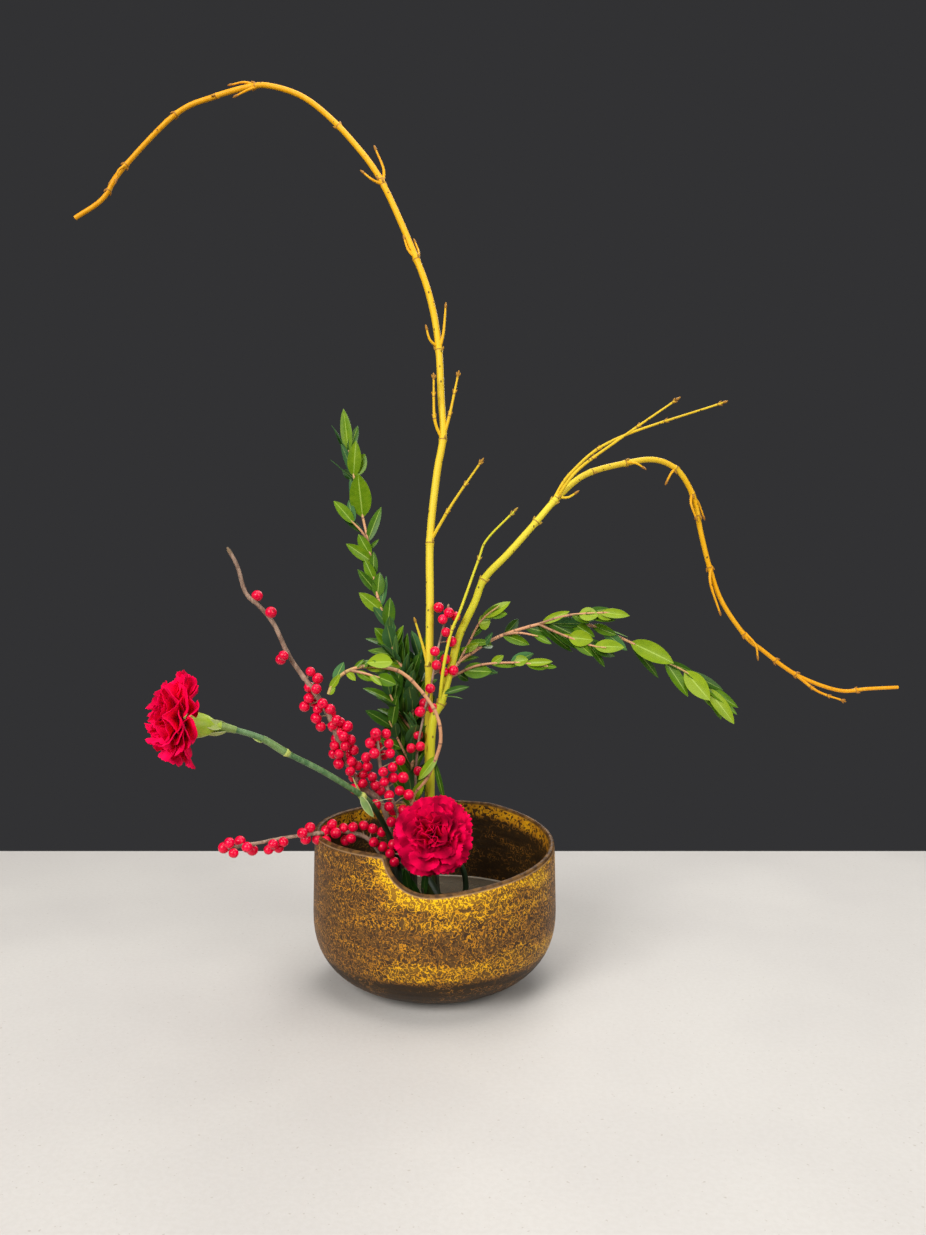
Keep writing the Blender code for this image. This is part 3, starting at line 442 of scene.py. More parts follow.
# %% Routes of the winterberry and the carnations
TALL_WINTERBERRY = [
    (-0.031, 0.001, STEM_FOOT), (-0.038, -0.005, 0.110), (-0.047, -0.010, 0.160),
    (-0.067, -0.016, 0.180), (-0.079, -0.022, 0.204), (-0.091, -0.028, 0.240),
    (-0.103, -0.032, 0.263), (-0.125, -0.038, 0.296), (-0.138, -0.044, 0.326),
    (-0.151, -0.048, 0.343), (-0.161, -0.050, 0.353), (-0.167, -0.054, 0.376),
    (-0.174, -0.056, 0.390),
]
LOW_WINTERBERRY = [
    (-0.036, -0.012, STEM_FOOT), (-0.042, -0.018, 0.095), (-0.055, -0.025, 0.130),
    (-0.078, -0.032, 0.1418), (-0.102, -0.040, 0.1423), (-0.125, -0.047, 0.141),
    (-0.151, -0.056, 0.138), (-0.178, -0.064, 0.135),
]
CENTRE_WINTERBERRY = [
    (-0.021, -0.026, STEM_FOOT), (-0.026, -0.030, 0.130), (-0.036, -0.034, 0.168),
    (-0.046, -0.038, 0.198), (-0.050, -0.040, 0.232),
]
INNER_WINTERBERRY = [
    (-0.019, 0.0005, STEM_FOOT), (-0.019, -0.001, 0.110), (-0.018, -0.003, 0.166),
    (-0.016, -0.003, 0.208), (-0.010, 0.000, 0.241), (-0.003, 0.003, 0.270),
    (0.002, 0.006, 0.298), (0.008, 0.010, 0.322), (0.012, 0.012, 0.340),
]
LEFT_CARNATION = [
    (-0.030, -0.030, STEM_FOOT), (-0.030, -0.020, 0.100), (-0.040, -0.024, 0.135),
    (-0.052, -0.041, 0.165), (-0.062, -0.054, 0.179), (-0.092, -0.072, 0.203),
    (-0.119, -0.088, 0.221), (-0.138, -0.098, 0.235), (-0.157, -0.106, 0.243),
    (-0.170, -0.111, 0.247),
]
LEFT_BLOOM_AXIS = Vector((-0.96, -0.26, 0.08)).normalized()
FRONT_CARNATION = [
    (0.020, -0.022, STEM_FOOT), (0.027, -0.031, 0.080), (0.028, -0.034, 0.098),
    (0.024, -0.037, 0.113), (0.012, -0.041, 0.126), (0.002, -0.044, 0.137),
]
FRONT_BLOOM_AXIS = Vector((-0.05, -0.90, 0.43)).normalized()
# Each blade on a carnation stem: its foot, heading, upper side, length and width,
# and for some how pale it is, from 0 to 1.
LEFT_BLADES = [
    ((-0.059, -0.051, 0.175), (-0.45, -0.10, 0.85), (-0.8, 0.0, -0.4), 0.022, 0.005),
    ((-0.055, -0.046, 0.170), (0.75, -0.35, 0.30), (0.0, 0.0, 1.0), 0.024, 0.004, 0.0),
]
FRONT_BLADES = [
    ((0.012, -0.034, 0.072), (-0.50, 0.05, 0.85), (0.3, -1.0, 0.3), 0.050, 0.0055, 0.0),
]
print("left bloom faces:", [round(part, 2) for part in LEFT_BLOOM_AXIS])
print("front bloom faces:", [round(part, 2) for part in FRONT_BLOOM_AXIS])


# %% [markdown]
# ## Lines that know their length
# A stem is a smooth curve through the points of its route. `Line` keeps that curve
# as close points and gives the place and heading at any distance from the foot, so
# that rings, twigs, leaves and berries can all be set by distance.

# %% Smooth path
FINE_STEP = 0.003


def smooth_path(points, spacing):
    """Points along a Catmull-Rom curve through the given ones, near this spacing."""
    knots = [Vector(point) for point in points]
    knots = [2 * knots[0] - knots[1]] + knots + [2 * knots[-1] - knots[-2]]
    path = []
    for before, start, end, after in zip(knots, knots[1:], knots[2:], knots[3:]):
        count = max(1, round((end - start).length / spacing))
        for step in range(count):
            t = step / count
            path.append(0.5 * (
                2 * start
                + (end - before) * t
                + (2 * before - 5 * start + 4 * end - after) * t ** 2
                + (3 * start - before - 3 * end + after) * t ** 3
            ))
    path.append(knots[-2])
    return path


print("points on the tall branch's path:", len(smooth_path(TALL_DOGWOOD, FINE_STEP)))


# %% Line that knows its length
UPRIGHT_FOOT = 0.010


class Line:
    """A smooth line through a route's points."""

    def __init__(self, points):
        self.points = points
        self.reach = [0.0]
        for a, b in zip(points, points[1:]):
            self.reach.append(self.reach[-1] + (b - a).length)
        self.length = self.reach[-1]

    def at(self, distance):
        """The place and the heading at this distance from the start."""
        distance = min(max(distance, 0.0), self.length)
        index = min(max(bisect.bisect_left(self.reach, distance), 1), len(self.points) - 1)
        run = self.reach[index] - self.reach[index - 1]
        step = self.points[index] - self.points[index - 1]
        share = (distance - self.reach[index - 1]) / run
        return self.points[index - 1] + step * share, step.normalized()


def stem_line(route):
    """A stem stands upright on the pins before it leans away."""
    foot = Vector(route[0])
    above = foot + Vector((0.0, 0.0, UPRIGHT_FOOT))
    return Line([foot] + smooth_path([above] + route[1:], FINE_STEP))


def twig_line(route):
    return Line(smooth_path(route, FINE_STEP))


def side_of(direction, turn):
    """A unit vector across the direction, turned about it."""
    across = direction.cross(Vector((0.0, 1.0, 0.0)))
    nearly_along_y = across.length < 0.1
    if nearly_along_y:
        across = direction.cross(Vector((1.0, 0.0, 0.0)))
    return Matrix.Rotation(turn, 3, direction) @ across.normalized()


print("tall branch:", round(stem_line(TALL_DOGWOOD).length, 3), "m long")

# %% [markdown]
# ## From a mesh to a finished piece
# `new_piece` turns a finished mesh into a piece of the arrangement. It gives it its
# finish, hides the solids that it stands for, smooths the shading and keeps edges
# sharp where the surface really turns a corner. `values` makes a named value on the
# points of a mesh, which a finish can read later. The last two helpers turn a shape
# that was made at the origin and set it in its place.

# %% Piece helpers
def values(bm, *names):
    return [bm.verts.layers.float.new(name) for name in names]


def new_piece(name, bm, finish, slot, stands_for, sharp):
    bmesh.ops.recalc_face_normals(bm, faces=bm.faces)
    mesh = bpy.data.meshes.new(name)
    bm.to_mesh(mesh)
    bm.free()
    mesh.materials.append(finish)
    mesh.shade_smooth()
    mesh.set_sharp_from_angle(angle=math.radians(sharp))
    piece = link(bpy.data.objects.new(name, mesh))
    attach(piece, "root")
    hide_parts(*stands_for)
    mesh.calc_loop_triangles()
    print(name + ":", len(mesh.loop_triangles), "triangles")


def placed_axes(place, x, y, z):
    """The matrix that sets the three axes along x, y and z, with its origin at a place."""
    return Matrix.Translation(place) @ Matrix((x, y, z)).transposed().to_4x4()


def upright_turn(heading):
    """Turns Z to a heading."""
    return heading.to_track_quat("Z", "Y").to_matrix().to_4x4()


print("piece helpers:", [helper.__name__ for helper in (values, new_piece, placed_axes)])


# %% [markdown]
# ## The bowl
# A bowl like this is thrown on a wheel, trimmed to a small foot ring, and then one
# side of its rim is cut away. The profile below runs from the middle of the
# underside, over the recess in the foot, up the outside, round the lip and down the
# inside, and is spun once about the axis. The top of the wall is then bent down to
# the notch. On the steep left side of the notch the columns of the mesh are moved
# together, so the lip stays round and even there.

# %% Bowl sizes
BOWL_RADIUS = 0.1105
RIM_RADIUS = 0.1090
BOWL_HEIGHT = 0.140
FOOT_RADIUS = 0.044
BELLY_HEIGHT = 0.066
WALL = 0.007
LIP = 0.0025
FLOOR = 0.009
INNER_FLOOR_RADIUS = 0.052
WATER_LEVEL = 0.063
NOTCH_LOW = 0.109
NOTCH_LEFT = math.radians(-110)
NOTCH_MIDDLE = math.radians(-90)
NOTCH_STEP = math.radians(20)
NOTCH_SWEEP = math.radians(150)
LEVEL_FROM = math.radians(59)
GATHER_FROM = math.radians(-128)
GATHER_TO = math.radians(-60)
GATHER_STEPS = 400
ROUNDING_PASSES = 160
BEND_FROM = 0.088
LIP_MIDDLE = RIM_RADIUS - LIP
LIP_BASE = BOWL_HEIGHT - LIP
print("the bowl is", 2 * BOWL_RADIUS, "m wide and", BOWL_HEIGHT, "m high")


# %% Curves of the wall and the notch
def wall_curve(count, low_radius, low, radius, high):
    """Radius and height from the foot or floor out to the belly."""
    points = []
    for step in range(count + 1):
        turn = math.radians(90 * step / count)
        points.append((
            low_radius + (radius - low_radius) * math.sin(turn) ** 0.95,
            low + (high - low) * (1 - abs(math.cos(turn)) ** 0.85),
        ))
    return points


def notch_height(angle):
    """Height of the lip: a steep step on the left, a long rise to the right."""
    depth = BOWL_HEIGHT - NOTCH_LOW
    if angle < NOTCH_LEFT or angle > NOTCH_MIDDLE + NOTCH_SWEEP:
        return BOWL_HEIGHT
    if angle < NOTCH_MIDDLE:
        share = (NOTCH_MIDDLE - angle) / NOTCH_STEP
        return NOTCH_LOW + depth * (1 - math.sqrt(1 - share * share))
    share = (angle - NOTCH_MIDDLE) / NOTCH_SWEEP
    return NOTCH_LOW + depth * 1.04 * share * share / (share + 0.04)


print("the notch goes down to", round(notch_height(NOTCH_MIDDLE), 3), "m")


# %% Lip over the steep part
def gathered_lip():
    """The lip across the steep part, unrolled to arc and height, its corner rounded."""
    dense_steps = 900
    lip = []
    for step in range(dense_steps + 1):
        angle = GATHER_FROM + (GATHER_TO - GATHER_FROM) * step / dense_steps
        lip.append(Vector((angle * LIP_MIDDLE, 0.0, notch_height(angle))))
    dense = Line(lip)
    lip = [dense.at(dense.length * step / GATHER_STEPS)[0] for step in range(GATHER_STEPS + 1)]
    for _ in range(ROUNDING_PASSES):
        inner = [(a + b) / 2 for a, b in zip(lip, lip[2:])]
        lip = [lip[0]] + [(p + q) / 2 for p, q in zip(lip[1:-1], inner)] + [lip[-1]]
    return Line(lip)


GATHERED = gathered_lip()


def lip_at(angle):
    """Arc and height of the lip above a column, and its normal in that plane."""
    if GATHER_FROM < angle < GATHER_TO:
        share = (angle - GATHER_FROM) / (GATHER_TO - GATHER_FROM)
        place, heading = GATHERED.at(share * GATHERED.length)
        return place.x, place.z, Vector((-heading.z, heading.x))
    step = math.radians(0.25)
    rise = notch_height(angle + step) - notch_height(angle - step)
    heading = Vector((2 * step * LIP_MIDDLE, rise)).normalized()
    if angle > LEVEL_FROM or angle < GATHER_FROM:
        heading = Vector((1.0, 0.0))
    return angle * LIP_MIDDLE, notch_height(angle), Vector((-heading.y, heading.x))


print("the steep part of the lip is", round(GATHERED.length, 3), "m long")


# %% Profile of the bowl
UNDERSIDE = [
    (0.0, 0.0025), (0.034, 0.0025), (0.0365, 0.0012), (0.0385, 0.0),
    (FOOT_RADIUS - 0.001, 0.0), (FOOT_RADIUS, 0.0012),
]
STRAIGHT_HEIGHTS = (0.074, 0.081)
WALL_RINGS = 10
LIP_RINGS = 8


def outer_radius(height):
    """Above the belly the wall leans in a little."""
    share = max(0.0, (height - BELLY_HEIGHT) / (LIP_BASE - BELLY_HEIGHT))
    return BOWL_RADIUS + (RIM_RADIUS - BOWL_RADIUS) * share


def wall_at(share):
    """The wall gets thinner from the bend up to the lip."""
    return WALL + (2 * LIP - WALL) * share


def inner_curve():
    """The inside from the floor up to the water."""
    return wall_curve(14, INNER_FLOOR_RADIUS, FLOOR, BOWL_RADIUS - WALL, WATER_LEVEL)


def bowl_profile():
    points = UNDERSIDE + wall_curve(16, FOOT_RADIUS, 0.0, BOWL_RADIUS, BELLY_HEIGHT)[2:]
    points += [(outer_radius(height), height) for height in STRAIGHT_HEIGHTS]
    shares = [step / WALL_RINGS for step in range(WALL_RINGS)]
    bent = [(BEND_FROM + (LIP_BASE - BEND_FROM) * share, share) for share in shares]
    points += [(outer_radius(height), height) for height, _ in bent]
    for step in range(LIP_RINGS + 1):
        turn = math.radians(180 * step / LIP_RINGS)
        points.append((LIP_MIDDLE + LIP * math.cos(turn), LIP_BASE + LIP * math.sin(turn)))
    points += [(outer_radius(height) - wall_at(share), height) for height, share in bent[::-1]]
    points += [(outer_radius(height) - WALL, height) for height in STRAIGHT_HEIGHTS[::-1]]
    return points + inner_curve()[::-1] + [(0.0, FLOOR)]


print("points in the bowl's profile:", len(bowl_profile()))


# %% Spin of a profile
MERGE_DISTANCE = 1e-6


def spin_profile(bm, profile, columns):
    """Spins a profile of radius and height about Z, and gives the points it made."""
    before = set(bm.verts)
    verts = [bm.verts.new((radius, 0.0, height)) for radius, height in profile]
    edges = [bm.edges.new(pair) for pair in zip(verts, verts[1:])]
    bmesh.ops.spin(
        bm, geom=verts + edges, cent=(0, 0, 0), axis=(0, 0, 1),
        angle=math.tau, steps=columns, use_merge=True,
    )
    made = [vert for vert in bm.verts if vert not in before]
    bmesh.ops.remove_doubles(bm, verts=made, dist=MERGE_DISTANCE)
    return [vert for vert in bm.verts if vert not in before]


print("a spin joins points closer than", MERGE_DISTANCE, "m")


# %% Bowl mesh
BOWL_COLUMNS = 360
INSIDE_FROM = 0.004


def distance_below_lip(arc, level):
    """How far a place on the unrolled wall lies from the lip."""
    if not GATHER_FROM * LIP_MIDDLE < arc < GATHER_TO * LIP_MIDDLE:
        return notch_height(arc / LIP_MIDDLE) - level
    here = Vector((arc, 0.0, level))
    return min((place - here).length for place in GATHERED.points[::4])


def make_bowl(finish):
    bm = bmesh.new()
    spin_profile(bm, bowl_profile(), BOWL_COLUMNS)
    below_lip, inside = values(bm, "below_lip", "inside")
    for vert in bm.verts:
        x, y, height = vert.co
        radius, angle = math.hypot(x, y), math.atan2(y, x)
        on_inside = radius < LIP_MIDDLE - 0.001 and height > INSIDE_FROM
        vert[inside] = 1.0 if on_inside else 0.0
        vert[below_lip] = BOWL_HEIGHT - height
        if height < BEND_FROM - MERGE_DISTANCE:
            continue
        arc, top, normal = lip_at(angle)
        if height > LIP_BASE - MERGE_DISTANCE:
            lift = height - LIP_BASE - LIP
            arc, level = arc + normal.x * lift, top + normal.y * lift
        else:
            share = (height - BEND_FROM) / (LIP_BASE - BEND_FROM)
            base = Vector((arc, top)) - normal * LIP
            arc = angle * LIP_MIDDLE * (1 - share) + base.x * share
            level = BEND_FROM * (1 - share) + base.y * share
            radius = outer_radius(level) - (wall_at(share) if on_inside else 0.0)
        vert[below_lip] = distance_below_lip(arc, level)
        vert.co = (
            radius * math.cos(arc / LIP_MIDDLE), radius * math.sin(arc / LIP_MIDDLE), level,
        )
    new_piece("stoneware_bowl", bm, finish, "glaze", ["bowl"], 70)


# %% [markdown]
# ## The glaze
# The clay fires brown, and the glaze has crawled on it: it draws back into short
# worm-like ridges of yellow and orange with bare brown between them. Lines where a
# noise crosses its middle value make just such worms. They lie densely in bands
# round the bowl, which a stretched noise and the height choose, and thin out to bare
# clay between. The lip is rubbed bare, and a thin pale line of painted highlight runs
# along each side of it. The inside is glazed in a belt under the lip, and in thin
# streaks below that.

# %% Masks of the glaze outside
def grey(value):
    return colour(value, value, value)


def fall(tree, value, low, high):
    """A mask that is 1 below low and fades to 0 at high."""
    return span(tree, value, low, high, 1.0, 0.0)


def worms(tree, place, scale, width):
    """Winding lines: 1 on a line, 0 off it. Width is a number or a mask."""
    field = noise(tree, place, scale, 1.0, 0.5)
    away = sums(tree, "ABSOLUTE", minus(tree, field, 0.5))
    return fall(tree, sums(tree, "DIVIDE", away, width), 0.65, 1.25)


def glaze_bands(tree, height):
    return steps(tree, sums(tree, "DIVIDE", height, BOWL_HEIGHT), [
        (0.0, grey(0.05)), (0.08, grey(0.10)), (0.15, grey(0.58)), (0.36, grey(0.52)),
        (0.44, grey(0.14)), (0.53, grey(0.16)), (0.58, grey(0.44)), (0.80, grey(0.48)),
        (1.0, grey(0.30)),
    ])


def glaze_cover(tree, place, height, below_lip):
    """How thickly the glaze lies outside: bands, drifts and the side of the notch."""
    flat = add(tree, "SeparateXYZ", Vector=place)
    turn = sums(tree, "ARCTAN2", flat.outputs[1], flat.outputs[0])
    left = span(tree, turn, math.radians(-132), math.radians(-100), 0.22, 1.0)
    bands = times(tree, glaze_bands(tree, height), left)
    near_notch = times(
        tree, span(tree, turn, math.radians(-128), math.radians(-108)),
        fall(tree, turn, math.radians(-84), math.radians(-60)),
    )
    strip = times(tree, fall(tree, below_lip, 0.004, 0.016), near_notch)
    brush = noise(tree, object_place(tree, (1.0, 1.0, 5.0)), 22.0, 2.0)
    brush = span(tree, brush, 0.42, 0.60)
    under_rim = times(tree, fall(tree, below_lip, 0.006, 0.026), brush)
    drift = noise(tree, object_place(tree, (1.0, 1.0, 4.5)), 20.0, 3.0)
    drift = times(tree, wander(tree, drift, 1.5), span(tree, height, 0.030, 0.060))
    cover = plus(tree, plus(tree, bands, drift), times(tree, under_rim, 0.30))
    return plus(tree, cover, times(tree, strip, 0.7), clamp=True)


print("glaze lies in bands up to", BOWL_HEIGHT, "m")


# %% Colours of clay and glaze
def two_clays(tree, scale, contrast, dark, light):
    """Clay that changes between two browns in spots of this scale."""
    spots = mottle(tree, scale, 0.5 - contrast, 0.5 + contrast)
    return mixed(tree, spots, colour(*dark), colour(*light))


def glaze_colour(tree, place, thick):
    """Thin glaze is brown, and thick glaze is yellow."""
    rich = plus(tree, thick, wander(tree, noise(tree, place, 75.0, 3.0), 0.9))
    return steps(tree, rich, [
        (0.0, colour(0.31, 0.122, 0.013)), (0.35, colour(0.52, 0.215, 0.010)),
        (0.70, colour(0.82, 0.41, 0.006)), (1.0, colour(0.88, 0.50, 0.008)),
    ])


def clay_colour(tree, inside, thick, belt, streaks):
    """Clay is stained where the glaze is thick, and dark inside below the belt."""
    clay = two_clays(tree, 240.0, 0.15, (0.046, 0.022, 0.009), (0.118, 0.056, 0.014))
    clay = mixed(tree, span(tree, thick, 0.35, 0.95), clay, colour(0.30, 0.140, 0.010))
    deep = mixed(tree, streaks, colour(0.010, 0.006, 0.004), colour(0.050, 0.026, 0.007))
    return mixed(tree, times(tree, inside, span(tree, belt, 0.0, 1.0, 1.0, 0.3)), clay, deep)


def bare_edges(tree, skin, height, below_lip, inside):
    """Adds the bare lip, a pale line of painted highlight along each side of it, and the bare foot.
    """
    lip_clay = two_clays(tree, 150.0, 0.1, (0.060, 0.027, 0.008), (0.15, 0.070, 0.017))
    skin = mixed(tree, fall(tree, below_lip, 0.0024, 0.0034), skin, lip_clay)
    # Painted highlight: a thin pale band along each shoulder of the lip, tan outside and golden
    # inside.
    line = times(
        tree, span(tree, below_lip, 0.0018, 0.0026), fall(tree, below_lip, 0.0028, 0.0038),
    )
    lip_highlight_colour = mixed(tree, inside, colour(0.44, 0.27, 0.14), colour(0.42, 0.21, 0.02))
    skin = mixed(tree, times(tree, line, 0.5), skin, lip_highlight_colour)
    foot_clay = two_clays(tree, 200.0, 0.1, (0.048, 0.034, 0.018), (0.090, 0.064, 0.034))
    return mixed(tree, span(tree, height, 0.001, 0.006, 0.9, 0.0), skin, foot_clay)


# %% Glazed bowl
def make_glaze():
    made, tree, shader = new_material("crawled_glaze", 0.5, Specular_IOR_Level=0.18)
    place = object_place(tree)
    height = add(tree, "SeparateXYZ", Vector=place).outputs[2]
    below_lip, inside = attribute(tree, "below_lip"), attribute(tree, "inside")

    cover = glaze_cover(tree, place, height, below_lip)
    width = span(tree, cover, 0.0, 0.9, 0.030, 0.058)
    thin_out = span(tree, height, 0.002, 0.007, 0.15, 1.0)
    outside = times(tree, worms(tree, place, 320.0, width), thin_out)
    belt = fall(tree, below_lip, 0.011, 0.019)
    streaks = noise(tree, object_place(tree, (1.0, 1.0, 4.0)), 26.0, 2.0)
    shown = sums(tree, "MAXIMUM", belt, span(tree, streaks, 0.42, 0.62, 0.05, 0.6))
    inner_width = span(tree, belt, 0.0, 1.0, 0.030, 0.105)
    inner = times(tree, worms(tree, place, 225.0, inner_width), shown)
    lines = mixed(tree, inside, outside, inner)
    thick = mixed(tree, inside, cover, times(tree, belt, 0.42))

    clay = clay_colour(tree, inside, thick, belt, streaks)
    skin = mixed(tree, lines, clay, glaze_colour(tree, place, thick))
    feed(tree, shader, "Base Color", bare_edges(tree, skin, height, below_lip, inside))
    feed(tree, shader, "Roughness", span(tree, lines, 0.2, 0.8, 0.50, 0.38))
    turning = {"bands_direction": "Z"}
    wheel = add(tree, "TexWave", turning, Vector=place, Scale=55.0, Distortion=0.6)
    rise = plus(tree, times(tree, lines, 0.5), times(tree, wheel.outputs["Fac"], 0.25))
    rise = plus(tree, rise, times(tree, pores(tree, 700.0), 0.25))
    raise_bumps(tree, shader, rise, 0.0005, 0.7)
    return made


make_bowl(make_glaze())

# %% [markdown]
# ## Water and pin holder
# The water stands well below the lip. It is a solid drop of water, spun like the
# bowl, with a small raised edge where it wets the wall. The pin holder, a heavy brass
# disc with sharp pins, lies under it and holds every stem. Its pins stand in a
# hexagonal grid, and each is a plain cone.

# %% Water
WATER_GAP = 0.0003
WATER_RIM = 0.0008


def make_water_finish():
    made, tree, shader = new_material("pool_water", 0.03, IOR=1.33, Transmission_Weight=0.6)
    # Painted reflection: the tan, cloudy colour stands for the pale room that the water mirrors.
    # The pale ring at the wall is a painted highlight on the water's edge.
    dark, light = colour(0.26, 0.21, 0.145), colour(0.33, 0.27, 0.19)
    reflection_tint = mixed(tree, mottle(tree, 30.0, 0.3, 0.7), dark, light)
    flat = object_place(tree, (1.0, 1.0, 0.0))
    radius = add(tree, "VectorMath", {"operation": "LENGTH"}, i0=flat).outputs["Value"]
    edge = span(tree, radius, 0.1005, 0.1018)
    feed(tree, shader, "Base Color", mixed(tree, edge, reflection_tint, colour(0.85, 0.74, 0.58)))
    return made


def make_water(finish):
    edge = BOWL_RADIUS - WALL - WATER_GAP
    profile = [(0.0, FLOOR + WATER_GAP)]
    profile += [(radius - WATER_GAP, height + WATER_GAP) for radius, height in inner_curve()[:-1]]
    profile += [(edge, WATER_LEVEL + WATER_RIM), (edge - WATER_RIM, WATER_LEVEL + 0.0002)]
    profile += [(edge - 0.002, WATER_LEVEL), (0.0, WATER_LEVEL)]
    bm = bmesh.new()
    spin_profile(bm, profile, 128)
    new_piece("pool", bm, finish, "water", ["water"], 40)


make_water(make_water_finish())


# %% Pin holder
KENZAN_CENTRE = Vector((-0.006, -0.002, 0.0))
KENZAN_RADIUS = 0.041
KENZAN_BOTTOM = FLOOR + WATER_GAP
KENZAN_BASE = 0.009
PIN_HEIGHT = 0.013
PIN_SPACING = 0.0055
PIN_MARGIN = 0.003
PIN_ROOT = 0.001


def make_brass():
    made, tree, shader = new_material("brass", 0.4, Metallic=1.0)
    brass = mixed(tree, mottle(tree, 90.0), colour(0.30, 0.22, 0.10), colour(0.52, 0.42, 0.24))
    feed(tree, shader, "Base Color", brass)
    raise_bumps(tree, shader, pores(tree, 900.0), 0.0002, 0.5)
    return made


def add_pins(bm):
    """Cones in a hexagonal grid, their roots sunk into the disc."""
    middle = KENZAN_BOTTOM + KENZAN_BASE + PIN_HEIGHT / 2 - PIN_ROOT / 2
    rows = int(KENZAN_RADIUS / PIN_SPACING) + 2
    for row in range(-rows, rows + 1):
        for column in range(-rows, rows + 1):
            x = (column + 0.5 * (row % 2)) * PIN_SPACING
            y = row * PIN_SPACING * math.sin(math.radians(60))
            if math.hypot(x, y) < KENZAN_RADIUS - PIN_MARGIN:
                bmesh.ops.create_cone(
                    bm, cap_ends=True, segments=6, radius1=0.0008, radius2=0.0002,
                    depth=PIN_HEIGHT + PIN_ROOT,
                    matrix=Matrix.Translation(KENZAN_CENTRE + Vector((x, y, middle))),
                )


def make_pin_holder(finish):
    bm = bmesh.new()
    middle = Vector((0.0, 0.0, KENZAN_BOTTOM + KENZAN_BASE / 2))
    bmesh.ops.create_cone(
        bm, cap_ends=True, segments=96, radius1=KENZAN_RADIUS,
        radius2=KENZAN_RADIUS - 0.0005, depth=KENZAN_BASE,
        matrix=Matrix.Translation(KENZAN_CENTRE + middle),
    )
    rims = [edge for edge in bm.edges if len(edge.link_faces) == 2 and edge.calc_face_angle() > 1.0]
    bmesh.ops.bevel(
        bm, geom=rims, offset=0.0008, offset_type="OFFSET",
        segments=3, profile=0.5, affect="EDGES", material=-1,
    )
    add_pins(bm)
    new_piece("pin_holder", bm, finish, "kenzan_metal", ["kenzan"], 40)


make_pin_holder(make_brass())

# %% [markdown]
# ## Woody stems
# `grow_stem` grows a stem the way a twig grows: a ring of points is extruded along
# the line and gets thinner as it goes. At each node, where twigs or leaves leave the
# stem, the wood swells a little and keeps a dark scar, so the rings stand closer
# there. Each point keeps its share of the way up the stem and its distance from the
# nearest node, and the bark reads both.

# %% Rings of a stem
NODE_OFFSETS = (-0.0045, -0.0022, -0.0008, 0.0, 0.0008, 0.0022, 0.0045)
NODE_ROOM = 0.006
LEAST_RING_GAP = 0.0004


def ring_places(length, spacing, nodes):
    """Distances for the rings: even, with closer ones round each node."""
    places = [spacing * step for step in range(int(length / spacing) + 1)] + [length]
    for node in nodes:
        places = [place for place in places if abs(place - node) > NODE_ROOM]
        places += [node + offset for offset in NODE_OFFSETS]
    places = sorted(place for place in places if 0.0 <= place <= length)
    kept = places[:1]
    for place in places[1:]:
        if place - kept[-1] > LEAST_RING_GAP:
            kept.append(place)
    return kept


print("rings on 5 cm with one node:", len(ring_places(0.05, 0.005, [0.02])))


# %% Stem grower
SWELL_WIDTH = 0.0022
FAR_FROM_NODES = 0.05


def layers_of(bm, *names):
    """The named values that the mesh keeps on its points."""
    return [bm.verts.layers.float[name] for name in names]


def grow_stem(bm, line, radii, sides, nodes=(), swell=0.16, spacing=0.005, share=None):
    """Extrudes a tapering ring along the line and closes both ends."""
    along, to_node = layers_of(bm, "along", "to_node")
    ring = bmesh.ops.create_circle(bm, cap_ends=False, segments=sides, radius=1.0)["verts"]
    edges = list({edge for vert in ring for edge in vert.link_edges})
    first_edges = edges
    last = Matrix.Identity(4)
    across = side_of(line.at(0.0)[1], 0.0)
    for index, distance in enumerate(ring_places(line.length, spacing, nodes)):
        place, heading = line.at(distance)
        across = (across - heading * across.dot(heading)).normalized()
        near = min([abs(distance - node) for node in nodes], default=1.0)
        part = distance / line.length
        radius = radii[0] + (radii[1] - radii[0]) * part
        radius *= 1 + swell * math.exp(-(near / SWELL_WIDTH) ** 2)
        axes = placed_axes(place, across, heading.cross(across), heading)
        matrix = axes @ Matrix.Scale(radius, 4)
        if index > 0:
            grown = bmesh.ops.extrude_edge_only(bm, edges=edges)["geom"]
            ring = [item for item in grown if isinstance(item, bmesh.types.BMVert)]
            edges = [
                item for item in grown
                if isinstance(item, bmesh.types.BMEdge) and all(v in ring for v in item.verts)
            ]
        bmesh.ops.transform(bm, verts=ring, matrix=matrix @ last.inverted())
        last = matrix
        for vert in ring:
            vert[along] = part if share is None else share
            vert[to_node] = min(near, FAR_FROM_NODES)
    for loop in (first_edges, edges):
        bmesh.ops.contextual_create(bm, geom=loop)


print("a node swells the wood over", 2 * SWELL_WIDTH * 1000, "mm")


# %% Places along a stem, and buds
def nearest_distance(line, place):
    """How far along the line the point nearest to a place lies."""
    place = Vector(place)
    tries = 400
    steps_along = [line.length * step / tries for step in range(tries + 1)]
    return min(steps_along, key=lambda distance: (line.at(distance)[0] - place).length)


def bud(bm, base, heading, length, width, share):
    """A small pointed bud that lies against the bark."""
    along, to_node = layers_of(bm, "along", "to_node")
    made = bmesh.ops.create_uvsphere(bm, u_segments=8, v_segments=6, radius=1.0)["verts"]
    for vert in made:
        vert.co.x *= 1.0 - 0.35 * vert.co.z
        vert.co.y *= 1.0 - 0.35 * vert.co.z
        vert[along], vert[to_node] = share, 0.0
    stretch = Matrix.Diagonal((width / 2, width / 2, length / 2, 1.0))
    place = Matrix.Translation(base + heading * length * 0.4)
    bmesh.ops.transform(bm, verts=made, matrix=place @ upright_turn(heading) @ stretch)


first_twig = nearest_distance(stem_line(TALL_DOGWOOD), TALL_DOGWOOD_TWIGS[0][0])
print("the first twig leaves the tall branch", round(first_twig, 3), "m up")

# %% [markdown]
# ## Painted shade at the wet foot
# Below the lip of the bowl the stems stand in shade and water, and every one of them
# is nearly black there. That shade is painted into their colour. The height alone
# decides it, so one helper serves all barks, stalks and blades.

# %% Painted shade at the foot
DARKEST_BELOW = 0.098
UNSHADED_ABOVE = 0.130


